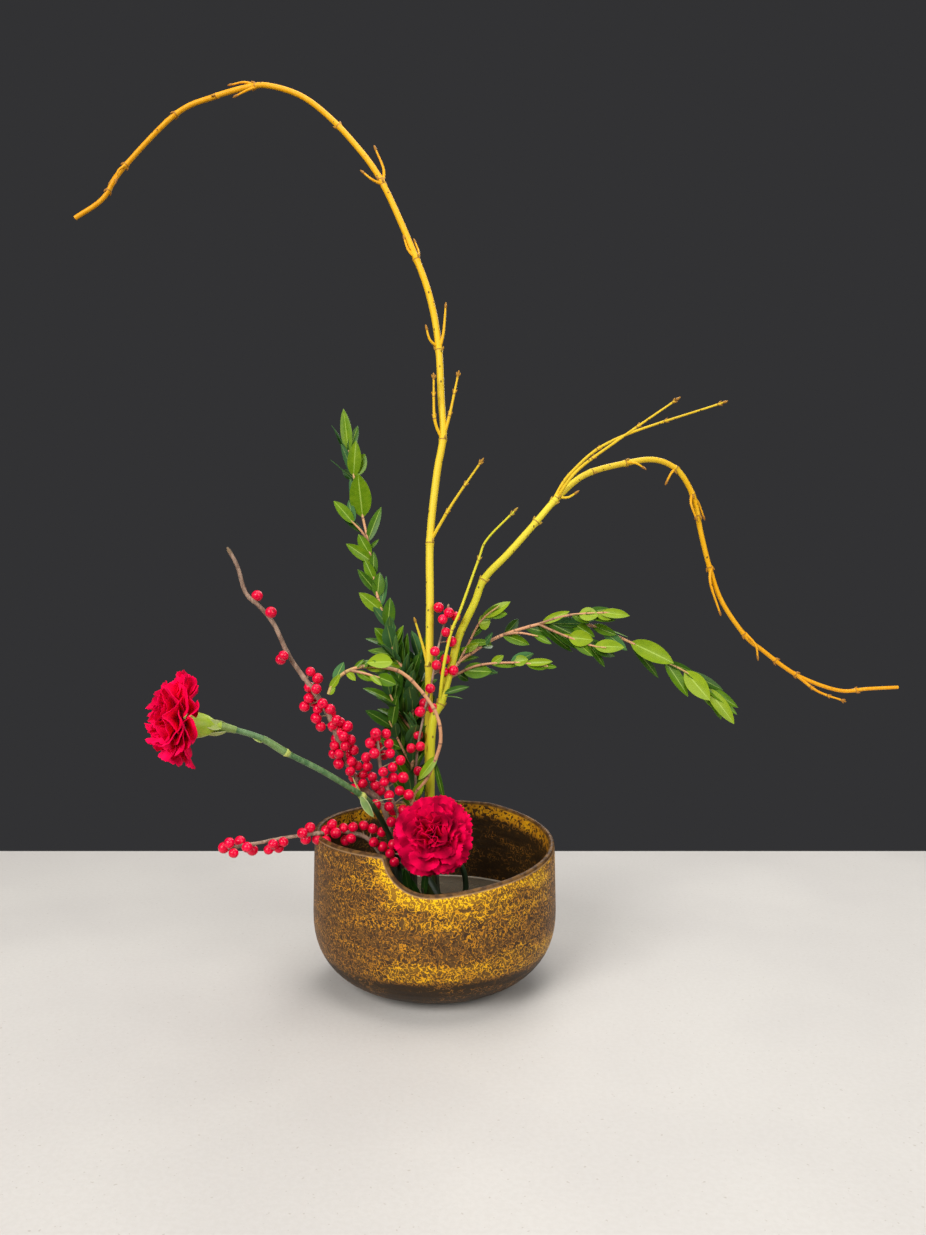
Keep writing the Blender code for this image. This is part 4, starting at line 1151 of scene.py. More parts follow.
def shade_and_wet_foot(tree, skin):
    """Paints shade into a colour, darker from the unshaded height down to the darkest one."""
    height = add(tree, "SeparateXYZ", Vector=object_place(tree)).outputs[2]
    painted_shade = span(tree, height, DARKEST_BELOW, UNSHADED_ABOVE, 0.96, 0.0)
    return mixed(tree, painted_shade, skin, colour(0.009, 0.019, 0.006))


print("stems are dark below", DARKEST_BELOW, "m and dry above", UNSHADED_ABOVE, "m")

# %% [markdown]
# ## Dogwood branches
# Yellow-twig dogwood is smooth and shiny, pale green at the foot and golden orange
# towards the tips, with small dark dashes in the bark where it breathes. Twigs and
# buds leave it in pairs, and a thin brown ring marks each pair. A florist steams and
# bends the branches to get long arcs, so the curve is even and the nodes still show.

# %% Dogwood bark
def make_dogwood_bark():
    made, tree, shader = new_material("dogwood_bark", 0.42, Specular_IOR_Level=0.16)
    ripe = attribute(tree, "along")
    cloud = noise(tree, object_place(tree, (1.0, 1.0, 0.35)), 55.0, 3.0)
    ripe = plus(tree, ripe, wander(tree, cloud, 0.12))
    skin = steps(tree, ripe, [
        (0.0, colour(0.34, 0.34, 0.015)), (0.30, colour(0.52, 0.50, 0.015)),
        (0.48, colour(0.72, 0.58, 0.038)), (0.60, colour(0.71, 0.47, 0.018)),
        (0.69, colour(0.77, 0.40, 0.004)), (0.80, colour(0.77, 0.34, 0.002)),
        (1.0, colour(0.76, 0.30, 0.001)),
    ])
    dots = add(tree, "TexVoronoi", Vector=object_place(tree, (1.0, 1.0, 0.7)), Scale=170.0)
    chosen = add(tree, "SeparateColor", Color=dots.outputs["Color"]).outputs[0]
    dots = fall(tree, dots.outputs["Distance"], 0.12, 0.19)
    dark = times(tree, dots, span(tree, chosen, 0.40, 0.50))
    skin = mixed(tree, times(tree, dark, 0.9), skin, colour(0.045, 0.022, 0.008))
    streak = times(tree, mottle(tree, 330.0, 0.35, 0.65, 0.10), 0.2)
    skin = mixed(tree, streak, skin, colour(0.84, 0.56, 0.05))
    scar = span(tree, attribute(tree, "to_node"), 0.0003, 0.0010, 0.75, 0.0)
    skin = mixed(tree, scar, skin, colour(0.24, 0.10, 0.025))
    feed(tree, shader, "Base Color", shade_and_wet_foot(tree, skin))
    raise_bumps(tree, shader, plus(tree, dark, pores(tree, 300.0)), 0.0001, 0.25)
    return made


DOGWOOD_BARK = make_dogwood_bark()


# %% Dogwood twigs and buds
LONG_TWIG = 0.03
JOINTED_TWIG = 0.05
TWIG_JOINTS = (0.35, 0.7, 0.97)
PAIR_ROOM = 0.004


def add_twig(bm, twig, share, rng):
    """A side twig with a bud at its tip. share: where on the branch it grows."""
    side = twig_line(twig)
    ends = (0.0017, 0.0009) if side.length > LONG_TWIG else (0.0015, 0.0009)
    joints = [part * side.length for part in TWIG_JOINTS if side.length > JOINTED_TWIG]
    grow_stem(bm, side, ends, 10, joints, 0.22, 0.004, min(1.0, share + 0.10))
    place, heading = side.at(side.length)
    bud(bm, place - heading * 0.001, heading, 0.0065, 0.0026, min(1.0, share + 0.20))
    for joint in joints:
        spot, course = side.at(joint)
        for way in (0.0, math.pi):
            out = (course + side_of(course, way + rng.uniform(-0.4, 0.4)) * 0.5).normalized()
            bud(bm, spot + out * 0.0008, out, 0.0048, 0.0017, min(1.0, share + 0.20))


def add_bud_pair(bm, line, distance, radii, rng):
    """Two buds that face each other across the branch."""
    place, heading = line.at(distance)
    width = radii[0] + (radii[1] - radii[0]) * distance / line.length
    turn = rng.uniform(0.0, math.pi)
    for way in (turn, turn + math.pi):
        out = side_of(heading, way)
        lean = (heading + out * 0.45).normalized()
        bud(bm, place + out * width * 0.9, lean, 0.0055, 0.0024, distance / line.length)


# %% Dogwood branches
def make_dogwood(name, node, route, radii, twigs, extra_nodes, ripe, rng):
    """ripe: how ripe the bark is at the foot and at the tip, from green to orange."""
    bm = bmesh.new()
    values(bm, "along", "to_node")
    line = stem_line(route)
    nodes = [nearest_distance(line, twig[0]) for twig in twigs]
    nodes = sorted(nodes + [share * line.length for share in extra_nodes])
    gaps = [after - before for before, after in zip([-1.0] + nodes, nodes)]
    nodes = [place for place, gap in zip(nodes, gaps) if gap > PAIR_ROOM]
    grow_stem(bm, line, radii, 20, nodes)
    for twig in twigs:
        add_twig(bm, twig, nearest_distance(line, twig[0]) / line.length, rng)
    for distance in nodes:
        add_bud_pair(bm, line, distance, radii, rng)
    (along,) = layers_of(bm, "along")
    for vert in bm.verts:
        vert[along] = ripe[0] + (ripe[1] - ripe[0]) * vert[along]
    new_piece(name, bm, DOGWOOD_BARK, "dogwood_bark", [node], 45)


def make_dogwoods():
    rng = random.Random(3)
    make_dogwood(
        "tall_branch", "dogwood_tall", TALL_DOGWOOD, (0.0041, 0.0024), TALL_DOGWOOD_TWIGS,
        (0.635, 0.70, 0.83, 0.96), (0.30, 1.0), rng,
    )
    make_dogwood(
        "side_branch", "dogwood_right", RIGHT_DOGWOOD, (0.0043, 0.0018), RIGHT_DOGWOOD_TWIGS,
        (0.36, 0.44, 0.52, 0.67, 0.85, 0.95), (-0.05, 1.10), rng,
    )


make_dogwoods()

# %% [markdown]
# ## Myrtle
# Myrtle carries small, firm, pointed leaves in pairs, each pair turned a quarter
# from the last. They are dark and shiny above, paler and bluish below, with a light
# midrib. Young leaves near the tips are a fresh yellow green. One leaf is a grid
# drawn in to a pointed oval, folded a little along its midrib and arched. Leaves
# that stand out against the background are set one by one, by their share of the
# way along the twig, their heading seen from the front, their length and width in
# millimetres and the way they face. The dense part low down grows by the rule.

# %% How leaves are described
# The lists give what shows of a leaf from the front: a leaf is longer than that,
# because it leans, and wider, because it is folded.
SEEN_LENGTH = 1.18
SEEN_WIDTH = 1.22
# A look gives the tone, the way the upper side faces, and how far the leaf leans
# towards the front (below zero) or the back, so that light leaves cover dark ones.
LOOKS = {
    "light": (0.92, Vector((0.0, -1.0, 0.35)), -0.16),
    "mid": (0.60, Vector((0.0, -1.0, 0.25)), -0.04),
    "dark": (0.26, Vector((0.0, -0.9, 0.6)), 0.16),
    "under": (0.45, Vector((0.0, 1.0, 0.5)), 0.10),
    "edge": (0.5, None, 0.0),
    # deep: the darkest tone, painted shade for leaves that sit low in the bowl.
    "deep": (0.0, Vector((0.0, -1.0, -0.1)), 0.0),
}
print("looks of a leaf:", list(LOOKS))


# %% Leaf blade
LEAF_ROWS = 9
LEAF_COLUMNS = 4
# The blade's half width is a power of the way along it times a power of the way
# left. This number makes the widest place as wide as the leaf should be.
LEAF_SHAPE = 2.907


def leaf_blade(bm, base, heading, face, length, width, tone_value, rng):
    """One pointed oval blade, its upper side towards face."""
    made = bmesh.ops.create_grid(
        bm, x_segments=LEAF_ROWS, y_segments=LEAF_COLUMNS, size=0.5
    )["verts"]
    along, across, tone = layers_of(bm, "along", "across", "tone")
    fold = rng.uniform(0.10, 0.35)
    droop = rng.uniform(0.02, 0.16)
    twist = rng.uniform(-0.25, 0.25)
    for vert in made:
        u, v = vert.co.x + 0.5, vert.co.y * 2
        vert[along], vert[across], vert[tone] = u, v, tone_value
        inner = min(max(u, 0.004), 0.998)
        half = width / 2 * LEAF_SHAPE * inner ** 0.7 * (1 - inner) ** 0.85
        lift = half * fold * (v * v) - droop * length * u * u + 0.05 * length * u
        vert.co = (length * u, half * v, lift + twist * half * v * u)
    x = heading.normalized()
    y = face.cross(x).normalized()
    bmesh.ops.transform(bm, verts=made, matrix=placed_axes(base, x, y, x.cross(y)))


print("points in a blade:", (LEAF_ROWS + 1) * (LEAF_COLUMNS + 1))


# %% Leaves, one by one or in pairs
SUNK = 0.0008


def placed_leaf(bm, line, spec, lighter, rng):
    """A leaf set by its share of the line, heading, length, width, look and lift."""
    share, degrees, length, width, look, *lift = spec
    length, width = length / 1000 * SEEN_LENGTH, width / 1000 * SEEN_WIDTH
    place, _ = line.at(share * line.length - 0.1 * length)
    turn = math.radians(degrees)
    tone_value, face, back = LOOKS[look]
    if lift:
        place = place + Vector(lift[0]) / 1000
    lean = back + rng.uniform(-0.12, 0.12)
    heading = Vector((math.cos(turn), lean, math.sin(turn))).normalized()
    if face is None:
        face = Vector((-math.sin(turn), -0.12, math.cos(turn)))
        if face.z < 0:
            face = -face
    face = face + Vector((rng.uniform(-0.25, 0.25), 0.0, rng.uniform(-0.25, 0.25)))
    tone_value = min(1.0, max(0.0, tone_value + lighter + rng.uniform(-0.08, 0.08)))
    leaf_blade(bm, place - heading * SUNK, heading, face, length, width, tone_value, rng)


def leaf_pairs(bm, line, start, end, spacing, length, tones, rng):
    """Pairs of leaves by the rule, each turned a quarter from the last pair."""
    count = max(1, int((end - start) * line.length / spacing))
    for pair in range(count):
        share = start + (end - start) * (pair + 0.5) / count
        place, direction = line.at(share * line.length)
        for side in (0, 1):
            turn = math.pi * (side + 0.5 * pair) + rng.uniform(-0.5, 0.5)
            lean = math.radians(rng.uniform(24, 50))
            out = side_of(direction, turn)
            heading = direction * math.cos(lean) + out * math.sin(lean)
            face = direction * math.sin(lean) - out * math.cos(lean)
            face = face * 0.8 + Vector((0.0, -0.8, 0.4))
            size = length * rng.uniform(0.8, 1.15)
            width = size * rng.uniform(0.36, 0.50)
            shade = rng.uniform(*tones)
            leaf_blade(bm, place - heading * SUNK, heading, face, size, width, shade, rng)


print("a leaf starts", SUNK * 1000, "mm inside its twig")


# %% Thickness of the leaves
LEAF_THICKNESS = 0.00035


def finish_blades(bm, thickness):
    """Gives all the blades their thickness and marks the lower side."""
    (under,) = layers_of(bm, "under")
    upper_side = set(bm.verts)
    bmesh.ops.solidify(bm, geom=bm.faces[:], thickness=thickness)
    for vert in bm.verts:
        if vert not in upper_side:
            vert[under] = 1.0


print("a leaf is", LEAF_THICKNESS * 1000, "mm thick")

# %% [markdown]
# ### Leaf and bark of the myrtle
# A leaf is dark where it is old and yellow green where it is young, so its colour
# reads the tone that was set with the blade; the darkest tone, on the leaves low in
# the bowl, is painted shade. The veins could be an image, but an image needs a flat
# map of every leaf. Here each point already knows how far along and across its blade
# it lies, and a folded ramp over both draws the midrib and the slanted veins. The bark
# is reddish brown, and greener where the wood is new.

# %% Leaf finish
def make_leaf_finish():
    made, tree, shader = new_material("myrtle_leaf", 0.36, Specular_IOR_Level=0.16)
    along, across = attribute(tree, "along"), attribute(tree, "across")
    tone, under = attribute(tree, "tone"), attribute(tree, "under")
    cloud = noise(tree, object_place(tree), 160.0, 3.0)
    tone = plus(tree, tone, wander(tree, cloud, 0.35))
    upper = steps(tree, tone, [
        (0.0, colour(0.012, 0.042, 0.005)), (0.35, colour(0.034, 0.095, 0.004)),
        (0.65, colour(0.088, 0.185, 0.003)), (1.0, colour(0.23, 0.325, 0.010)),
    ])
    lower = steps(tree, tone, [
        (0.0, colour(0.026, 0.085, 0.026)), (0.5, colour(0.058, 0.165, 0.045)),
        (1.0, colour(0.15, 0.29, 0.055)),
    ])
    blade = mixed(tree, under, upper, lower)
    off = sums(tree, "ABSOLUTE", across)
    midrib = fall(tree, off, 0.03, 0.10)
    slant = minus(tree, times(tree, along, 11.0), times(tree, off, 1.6))
    veins = fall(tree, sums(tree, "PINGPONG", slant, 0.5), 0.0, 0.09)
    light = sums(tree, "MAXIMUM", midrib, times(tree, veins, 0.10))
    light = times(tree, light, span(tree, tone, -0.05, 0.45, 0.10, 0.50))
    feed(tree, shader, "Base Color", mixed(tree, light, blade, colour(0.46, 0.60, 0.12)))
    feed(tree, shader, "Roughness", span(tree, under, 0.0, 1.0, 0.34, 0.62))
    rise = minus(tree, times(tree, pores(tree, 250.0), 0.4), light)
    raise_bumps(tree, shader, rise, 0.0001, 0.15)
    return made


MYRTLE_LEAF = make_leaf_finish()


# %% Myrtle bark
def make_myrtle_bark():
    made, tree, shader = new_material("myrtle_bark", 0.55)
    along = attribute(tree, "along")
    cloud = noise(tree, object_place(tree, (1.0, 1.0, 0.4)), 140.0, 3.0)
    warm = plus(tree, along, wander(tree, cloud, 0.6))
    skin = steps(tree, warm, [
        (0.0, colour(0.24, 0.12, 0.05)), (0.45, colour(0.54, 0.25, 0.12)),
        (0.8, colour(0.60, 0.29, 0.13)), (1.0, colour(0.42, 0.30, 0.08)),
    ])
    scar = span(tree, attribute(tree, "to_node"), 0.0003, 0.0012, 0.7, 0.0)
    skin = mixed(tree, scar, skin, colour(0.14, 0.06, 0.03))
    feed(tree, shader, "Base Color", shade_and_wet_foot(tree, skin))
    raise_bumps(tree, shader, pores(tree, 600.0), 0.0001, 0.4)
    return made


MYRTLE_BARK = make_myrtle_bark()

# %% [markdown]
# ## Four stems of myrtle
# The upright stem leans to the left behind the winterberry, the longest one arches
# out to the right, a short one hooks over the middle, and a few leaves at the front
# hide the pin holder. Every entry of a list below is one leaf. Each stem has a list
# of its own, and so has each twig, in the order of the routes.

# %% Leaves of the upright myrtle and at the front
UPRIGHT_LEAVES = [
    (0.55, 135, 18, 7, "dark"), (0.56, 125, 20, 13, "under"), (0.57, 90, 25, 5, "under"),
    (0.57, 130, 22, 11, "light"), (0.61, 85, 24, 10, "mid"), (0.61, 125, 20, 8, "under"),
    (0.64, 140, 25, 10, "light"), (0.65, 80, 26, 5, "under"), (0.67, 85, 20, 10, "mid"),
    (0.68, 130, 24, 7, "mid"), (0.70, 115, 20, 8, "light"), (0.71, 90, 20, 7, "mid"),
    (0.72, 135, 14, 5, "dark"), (0.74, 145, 25, 9, "light"), (0.75, 120, 20, 9, "light"),
    (0.76, 45, 12, 3, "mid"), (0.78, 70, 31, 8, "mid"), (0.83, 95, 36, 17, "light"),
    (0.84, 110, 28, 9, "under"), (0.89, 130, 30, 3, "edge"), (0.90, 140, 14, 8, "dark"),
    (0.91, 60, 20, 13, "light"), (0.91, 85, 29, 11, "light"), (0.91, 110, 28, 7, "under"),
    (0.95, 120, 30, 3, "edge"), (0.955, 72, 25, 7, "mid"), (0.96, 96, 36, 9, "light"),
    (0.945, 118, 30, 4, "dark"),
]
UPRIGHT_TWIG_LEAVES = [
    [(0.49, 140, 24, 6, "dark"), (1, 100, 19, 7, "under"), (1, 130, 24, 9, "light")],
    [(1, 108, 27, 9, "under"), (1, 75, 20, 7, "mid"), (0.7, 122, 30, 9, "under")],
]
# The front leaves sit low in the bowl: their look, deep, paints the bowl's shade into them.
FRONT_LEAVES = [
    [(1, 100, 17, 6, "deep")],
    [(0.6, 122, 31, 7, "deep"), (0.85, 84, 24, 5, "deep")],
]
# One more twig, low down, carries only leaves that follow the rule.
LOW_TWIG = [(-0.021, 0.017, 0.190), (-0.032, 0.012, 0.212), (-0.042, 0.005, 0.235)]


def count_leaves(*lists):
    return sum(map(len, lists))


print("leaves set by hand, upright:", count_leaves(UPRIGHT_LEAVES, *UPRIGHT_TWIG_LEAVES))
print("leaves set by hand, front:", count_leaves(*FRONT_LEAVES))


# %% Leaves of the right-hand myrtle
RIGHT_LEAVES = [
    (0.62, -12, 32, 10, "dark"), (0.66, -25, 30, 10, "dark"), (0.70, -32, 24, 9, "mid"),
    (0.70, 8, 22, 6, "dark"), (0.975, -30, 36, 9, "mid"), (0.98, -62, 30, 8, "mid"),
    (0.955, -58, 30, 8, "mid"), (0.985, -40, 33, 7, "mid"),
    (0.65, 0, 41, 10, "under"), (0.67, -5, 25, 9, "dark"), (0.74, -20, 20, 9, "dark"),
    (0.74, -20, 22, 8, "mid"), (0.74, -15, 33, 4, "edge"), (0.76, -40, 28, 9, "under"),
    (0.82, -50, 42, 7, "dark"), (0.82, -25, 40, 16, "light"), (0.87, -35, 15, 5, "dark"),
    (0.89, -55, 36, 11, "mid"), (0.89, -20, 30, 8, "dark"), (0.93, -50, 32, 16, "light"),
    (0.93, -25, 39, 9, "dark"), (0.94, -55, 31, 7, "dark"), (0.98, -50, 39, 12, "light"),
    (0.98, -35, 24, 5, "light"), (0.99, -55, 22, 7, "light"), (1, -55, 17, 5, "mid"),
    (1, -50, 18, 5, "mid"),
]
RIGHT_TWIG_LEAVES = [
    [(0.1, 25, 24, 7, "light"), (0.41, 5, 16, 3, "edge"), (0.54, -5, 16, 12, "light"),
     (0.69, 0, 23, 4, "dark"), (0.74, -25, 13, 7, "light"), (0.8, -5, 24, 8, "light"),
     (0.85, -5, 19, 5, "dark"), (0.6, 12, 24, 7, "dark"), (0.62, -12, 26, 8, "mid"),
     (0.9, -8, 16, 7, "mid"), (0.45, -25, 16, 6, "mid")],
    [(0.09, -40, 36, 9, "dark"), (0.4, -10, 10, 3, "light"), (0.48, -25, 21, 8, "dark"),
     (0.51, -5, 20, 13, "light"), (0.79, -50, 25, 7, "dark"), (0.89, 0, 24, 12, "light"),
     (0.3, -33, 30, 9, "dark"), (0.45, -30, 32, 10, "dark"), (0.55, -40, 23, 8, "mid"),
     (0.62, -18, 33, 10, "dark"), (0.85, -25, 21, 9, "dark")],
    [(0, -20, 24, 8, "mid"), (0.96, -25, 16, 5, "mid")],
    [(0.1, -35, 11, 6, "dark"), (0.18, 0, 23, 13, "mid"), (0.2, -5, 28, 8, "under"),
     (0.46, -5, 22, 5, "mid"), (0.46, 35, 12, 6, "light"), (0.68, 15, 12, 9, "light"),
     (0.66, 22, 20, 9, "under"), (0.81, -15, 17, 6, "mid"), (0.81, 5, 22, 6, "light"),
     (0.97, -5, 11, 4, "mid")],
    [(0.25, 60, 6, 6, "mid"), (0.28, 30, 14, 6, "light"), (0.4, 5, 19, 6, "mid"),
     (0.49, 45, 13, 6, "dark"), (0.67, 10, 10, 12, "light"), (0.75, 35, 22, 8, "mid"),
     (0.8, 30, 25, 9, "light"), (0.85, 0, 16, 8, "mid")],
]
LOOP_LEAVES = [
    (0.42, 62, 20, 7, "light"), (0.55, -128, 23, 7, "light"), (0.54, -77, 35, 4, "dark"),
    (0.66, 18, 20, 6, "dark", (8, -3, 18)), (0.65, -2, 13, 2.5, "edge", (8, -3, 18)),
    (0.80, 180, 19, 12, "light", (-6, -7, 9)), (0.84, 175, 15, 8, "light"),
    (0.82, -165, 13, 6, "dark"), (0.88, 30, 9, 4, "mid"), (0.89, 40, 8, 5, "mid"),
    (0.91, 45, 10, 3, "mid"), (0.93, -45, 10, 5, "light"), (0.97, 65, 16, 7, "under"),
    (0.99, 55, 14, 5, "light"), (1, 40, 7, 4, "under"), (1, 40, 7, 5, "light"),
]
LOOP_TWIG_LEAVES = [
    [(0.33, -30, 14, 6, "mid"), (0.74, -40, 13, 4, "light"), (1, -20, 15, 9, "mid")],
]
print("leaves set by hand, right:", count_leaves(RIGHT_LEAVES, *RIGHT_TWIG_LEAVES))
print("leaves set by hand, loop:", count_leaves(LOOP_LEAVES, *LOOP_TWIG_LEAVES))


# %% Myrtle stems and foliage
MYRTLE_JOINTS = 0.016
MYRTLE_TWIG = (0.0013, 0.0008)


def make_myrtle(name, node, routes, radii, placed, lighter, ruled, rng):
    """Makes one piece of wood and one of leaves.

    placed: for each route, its listed leaves. lighter: how much younger than usual
    they look. ruled: index of a route, then where pairs start and end, their spacing,
    their length and the range of their tones.
    """
    lines = [stem_line(routes[0])] + [twig_line(route) for route in routes[1:]]
    blades = bmesh.new()
    values(blades, "along", "across", "tone", "under")
    for line, specs in zip(lines, placed):
        for spec in specs:
            placed_leaf(blades, line, spec, lighter, rng)
    for index, start, end, spacing, length, tones in ruled:
        leaf_pairs(blades, lines[index], start, end, spacing, length, tones, rng)
    finish_blades(blades, LEAF_THICKNESS)
    wood = bmesh.new()
    values(wood, "along", "to_node")
    for line in lines:
        ends = radii if line is lines[0] else MYRTLE_TWIG
        joints = [MYRTLE_JOINTS * step for step in range(1, int(line.length / MYRTLE_JOINTS))]
        grow_stem(wood, line, ends, 10, joints, 0.14, 0.006)
    new_piece(name + "_wood", wood, MYRTLE_BARK, "myrtle_bark", [node], 50)
    new_piece(name + "_leaves", blades, MYRTLE_LEAF, "myrtle_leaf", [node], 80)


def make_myrtles():
    rng = random.Random(8)
    dark, medium = (0.12, 0.62), (0.30, 0.75)
    make_myrtle(
        "upright_myrtle", "myrtle_upright",
        [UPRIGHT_MYRTLE] + UPRIGHT_MYRTLE_TWIGS + [LOW_TWIG], (0.0021, 0.0010),
        [UPRIGHT_LEAVES] + UPRIGHT_TWIG_LEAVES, -0.20,
        [(0, 0.26, 0.57, 0.0078, 0.032, dark), (0, 0.36, 0.60, 0.012, 0.027, medium),
         (2, 0.2, 1.0, 0.008, 0.032, dark), (3, 0.2, 1.0, 0.008, 0.032, dark),
         (4, 0.3, 1.0, 0.009, 0.031, dark)],
        rng,
    )
    make_myrtle(
        "right_myrtle", "myrtle_right", [RIGHT_MYRTLE] + RIGHT_MYRTLE_TWIGS,
        (0.0023, 0.0010), [RIGHT_LEAVES] + RIGHT_TWIG_LEAVES, 0.04,
        [(0, 0.46, 0.60, 0.022, 0.022, dark)], rng,
    )
    make_myrtle(
        "loop_myrtle", "myrtle_loop", [LOOP_MYRTLE] + LOOP_MYRTLE_TWIGS,
        (0.0018, 0.0015), [LOOP_LEAVES] + LOOP_TWIG_LEAVES, 0.0, [], rng,
    )
    make_myrtle(
        "front_myrtle", "myrtle_front", [FRONT_MYRTLE] + FRONT_MYRTLE_TWIGS,
        (0.0020, 0.0012), FRONT_LEAVES, 0.0, [], rng,
    )


make_myrtles()

# %% [markdown]
# ## Winterberry
# Winterberry drops its leaves and keeps its fruit: round, glossy, crimson berries on
# very short stalks, crowded along a thin grey-brown twig, each with a small dark
# point where the flower was. The lists give each berry that shows as its share of
# the way along the stem and its offset to the side in millimetres, to the right of
# the way the stem grows. How far a berry stands in front of the stem or behind it
# follows from the length of its stalk.

# %% Places of the berries
TALL_FRUIT = [
    (0.372, 5.8), (0.389, 9.0), (0.405, 12.5), (0.422, -3.9), (0.422, 4.7), (0.432, 7.5),
    (0.437, -0.9), (0.448, 14.6), (0.459, 8.2), (0.470, 17.7), (0.483, -6.5), (0.490, 3.2),
    (0.497, 9.5), (0.505, -8.0), (0.505, -2.4), (0.513, 1.4), (0.521, -4.6), (0.521, 9.7),
    (0.529, -2.1), (0.538, 6.0), (0.554, -0.9), (0.554, 11.1), (0.561, 6.8), (0.575, -10.6),
    (0.575, 5.1), (0.598, -9.5), (0.602, 4.7), (0.607, -7.5), (0.621, 1.8), (0.627, -6.5),
    (0.633, -13.5), (0.639, -8.0), (0.653, 4.1), (0.661, -1.7), (0.669, 9.1), (0.686, 7.9),
    (0.743, -7.8), (0.750, -2.6), (0.841, 5.0), (0.881, 5.2), (0.462, 1.0), (0.478, 5.0),
    (0.517, 5.5), (0.546, 2.5), (0.567, 0.5), (0.588, 1.5), (0.615, -2.5), (0.645, -2.0),
]
LOW_FRUIT = [
    (0.475, 3.2), (0.475, 12.6), (0.494, 10.1), (0.521, 9.1), (0.557, -3.0), (0.557, 6.5),
    (0.566, -7.6), (0.583, 2.1), (0.618, 0.6), (0.626, 7.2), (0.643, 1.0), (0.652, -6.2),
    (0.677, -5.6), (0.701, 5.5), (0.717, -4.9), (0.733, 3.5), (0.801, -2.0), (0.820, -7.8),
    (0.838, -1.7), (0.848, -7.5), (0.905, -6.2), (0.924, 0.0), (0.943, 2.4), (0.971, -3.2),
    (0.981, 5.7), (1.0, 0.6),
]
CENTRE_FRUIT = [
    (0.447, -10.8), (0.482, -12.9), (0.513, -19.7), (0.513, -10.8), (0.599, 1.7),
    (0.626, -7.0), (0.649, 5.9), (0.660, -2.6), (0.696, -3.4), (0.709, -15.1),
    (0.709, 15.3), (0.734, -0.6), (0.734, 9.2), (0.782, 15.6), (0.794, 0.2), (0.794, 8.3),
    (0.842, 2.2), (0.842, 10.3), (0.868, 18.3), (0.894, 4.0), (0.920, -2.9), (0.920, 10.0),
    (0.934, -1.3), (0.934, 9.9), (0.960, -6.0), (0.974, -1.1), (0.987, 8.4), (1.0, 0.1),
]
INNER_FRUIT = [
    (0.533, 2.3), (0.592, -5.8), (0.601, 2.4), (0.628, -1.8), (0.694, -4.1), (0.710, 7.1),
    (0.718, -2.3), (0.763, -0.2), (0.816, 9.7), (0.823, 17.0), (0.830, 1.6), (0.852, 8.5),
    (0.866, -2.2), (0.906, 10.5), (0.925, 3.4), (0.959, -2.3), (0.977, 8.7), (0.982, 2.0),
    (0.991, -8.4),
]
print("berries that show:", sum(map(len, (TALL_FRUIT, LOW_FRUIT, CENTRE_FRUIT, INNER_FRUIT))))


# %% [markdown]
# ### Bark and skin of the winterberry
# The twig is dull and has small corky dots, which a fine noise gives where only its
# highest values are let through. The skin of a berry is thin and tight and shines
# softly. The red hardly changes from one berry to the next, so a faint mottle is
# enough, and the value `tip` makes the point at the end dark.

# %% Winterberry bark
def make_winterberry_bark():
    made, tree, shader = new_material("winterberry_bark", 0.75)
    cloud = mottle(tree, 260.0, 0.4, 0.62, 0.4)
    skin = mixed(tree, cloud, colour(0.18, 0.105, 0.068), colour(0.34, 0.22, 0.15))
    dots = span(tree, noise(tree, object_place(tree), 900.0, 1.0), 0.66, 0.72)
    skin = mixed(tree, times(tree, dots, 0.6), skin, colour(0.40, 0.33, 0.25))
    green = times(tree, span(tree, attribute(tree, "along"), 0.985, 1.0), 0.35)
    skin = mixed(tree, green, skin, colour(0.22, 0.16, 0.05))
    feed(tree, shader, "Base Color", shade_and_wet_foot(tree, skin))
    raise_bumps(tree, shader, plus(tree, dots, pores(tree, 700.0)), 0.0004, 0.7)
    return made


WINTERBERRY_BARK = make_winterberry_bark()


# %% Berry skin
def make_berry_skin():
    made, tree, shader = new_material("winterberry_skin", 0.3, Specular_IOR_Level=0.32)
    cloud = mottle(tree, 120.0, 0.35, 0.65)
    tone = mixed(tree, cloud, colour(0.66, 0.0, 0.030), colour(0.84, 0.0, 0.045))
    tip = span(tree, attribute(tree, "tip"), 0.70, 0.95, 0.0, 0.8)
    feed(tree, shader, "Base Color", mixed(tree, tip, tone, colour(0.10, 0.008, 0.006)))
    feed(tree, shader, "Roughness", span(tree, mottle(tree, 90.0), 0.0, 1.0, 0.26, 0.34))
    raise_bumps(tree, shader, pores(tree, 260.0), 0.0001, 0.12)
    return made


BERRY_SKIN = make_berry_skin()


# %% Berry and stalk
BERRY_RADIUS = 0.0047
STALK_DROP = 0.004
SHORTEST_STALK = 0.002


def berry(bm, centre, outward, size):
    """A round fruit with a small dark point at the end away from its stalk."""
    (tip,) = layers_of(bm, "tip")
    made = bmesh.ops.create_uvsphere(bm, u_segments=14, v_segments=10, radius=1.0)["verts"]
    for vert in made:
        top = max(0.0, vert.co.z - 0.85) / 0.15
        vert[tip] = top
        vert.co.z -= 0.10 * top * top
        vert.co.z *= 0.96
    place = Matrix.Translation(centre)
    grow = Matrix.Scale(size, 4)
    bmesh.ops.transform(bm, verts=made, matrix=place @ upright_turn(outward) @ grow)


def add_berry(wood, red, line, share, centre, rng):
    """A berry at its place, on a stalk that leaves the stem a little lower."""
    _, heading = line.at(share * line.length)
    root, _ = line.at(share * line.length - STALK_DROP)
    outward = (centre - root).normalized()
    tip_way = (outward + Vector((0.0, 0.45, -0.45))).normalized()
    berry(red, centre, tip_way, BERRY_RADIUS * rng.uniform(0.92, 1.08))
    stalk = Line([root, (root + centre) / 2 + heading * 0.0008, centre])
    if stalk.length > SHORTEST_STALK:
        grow_stem(wood, stalk, (0.0007, 0.0006), 5, (), 0.0, 0.004, 1.0)


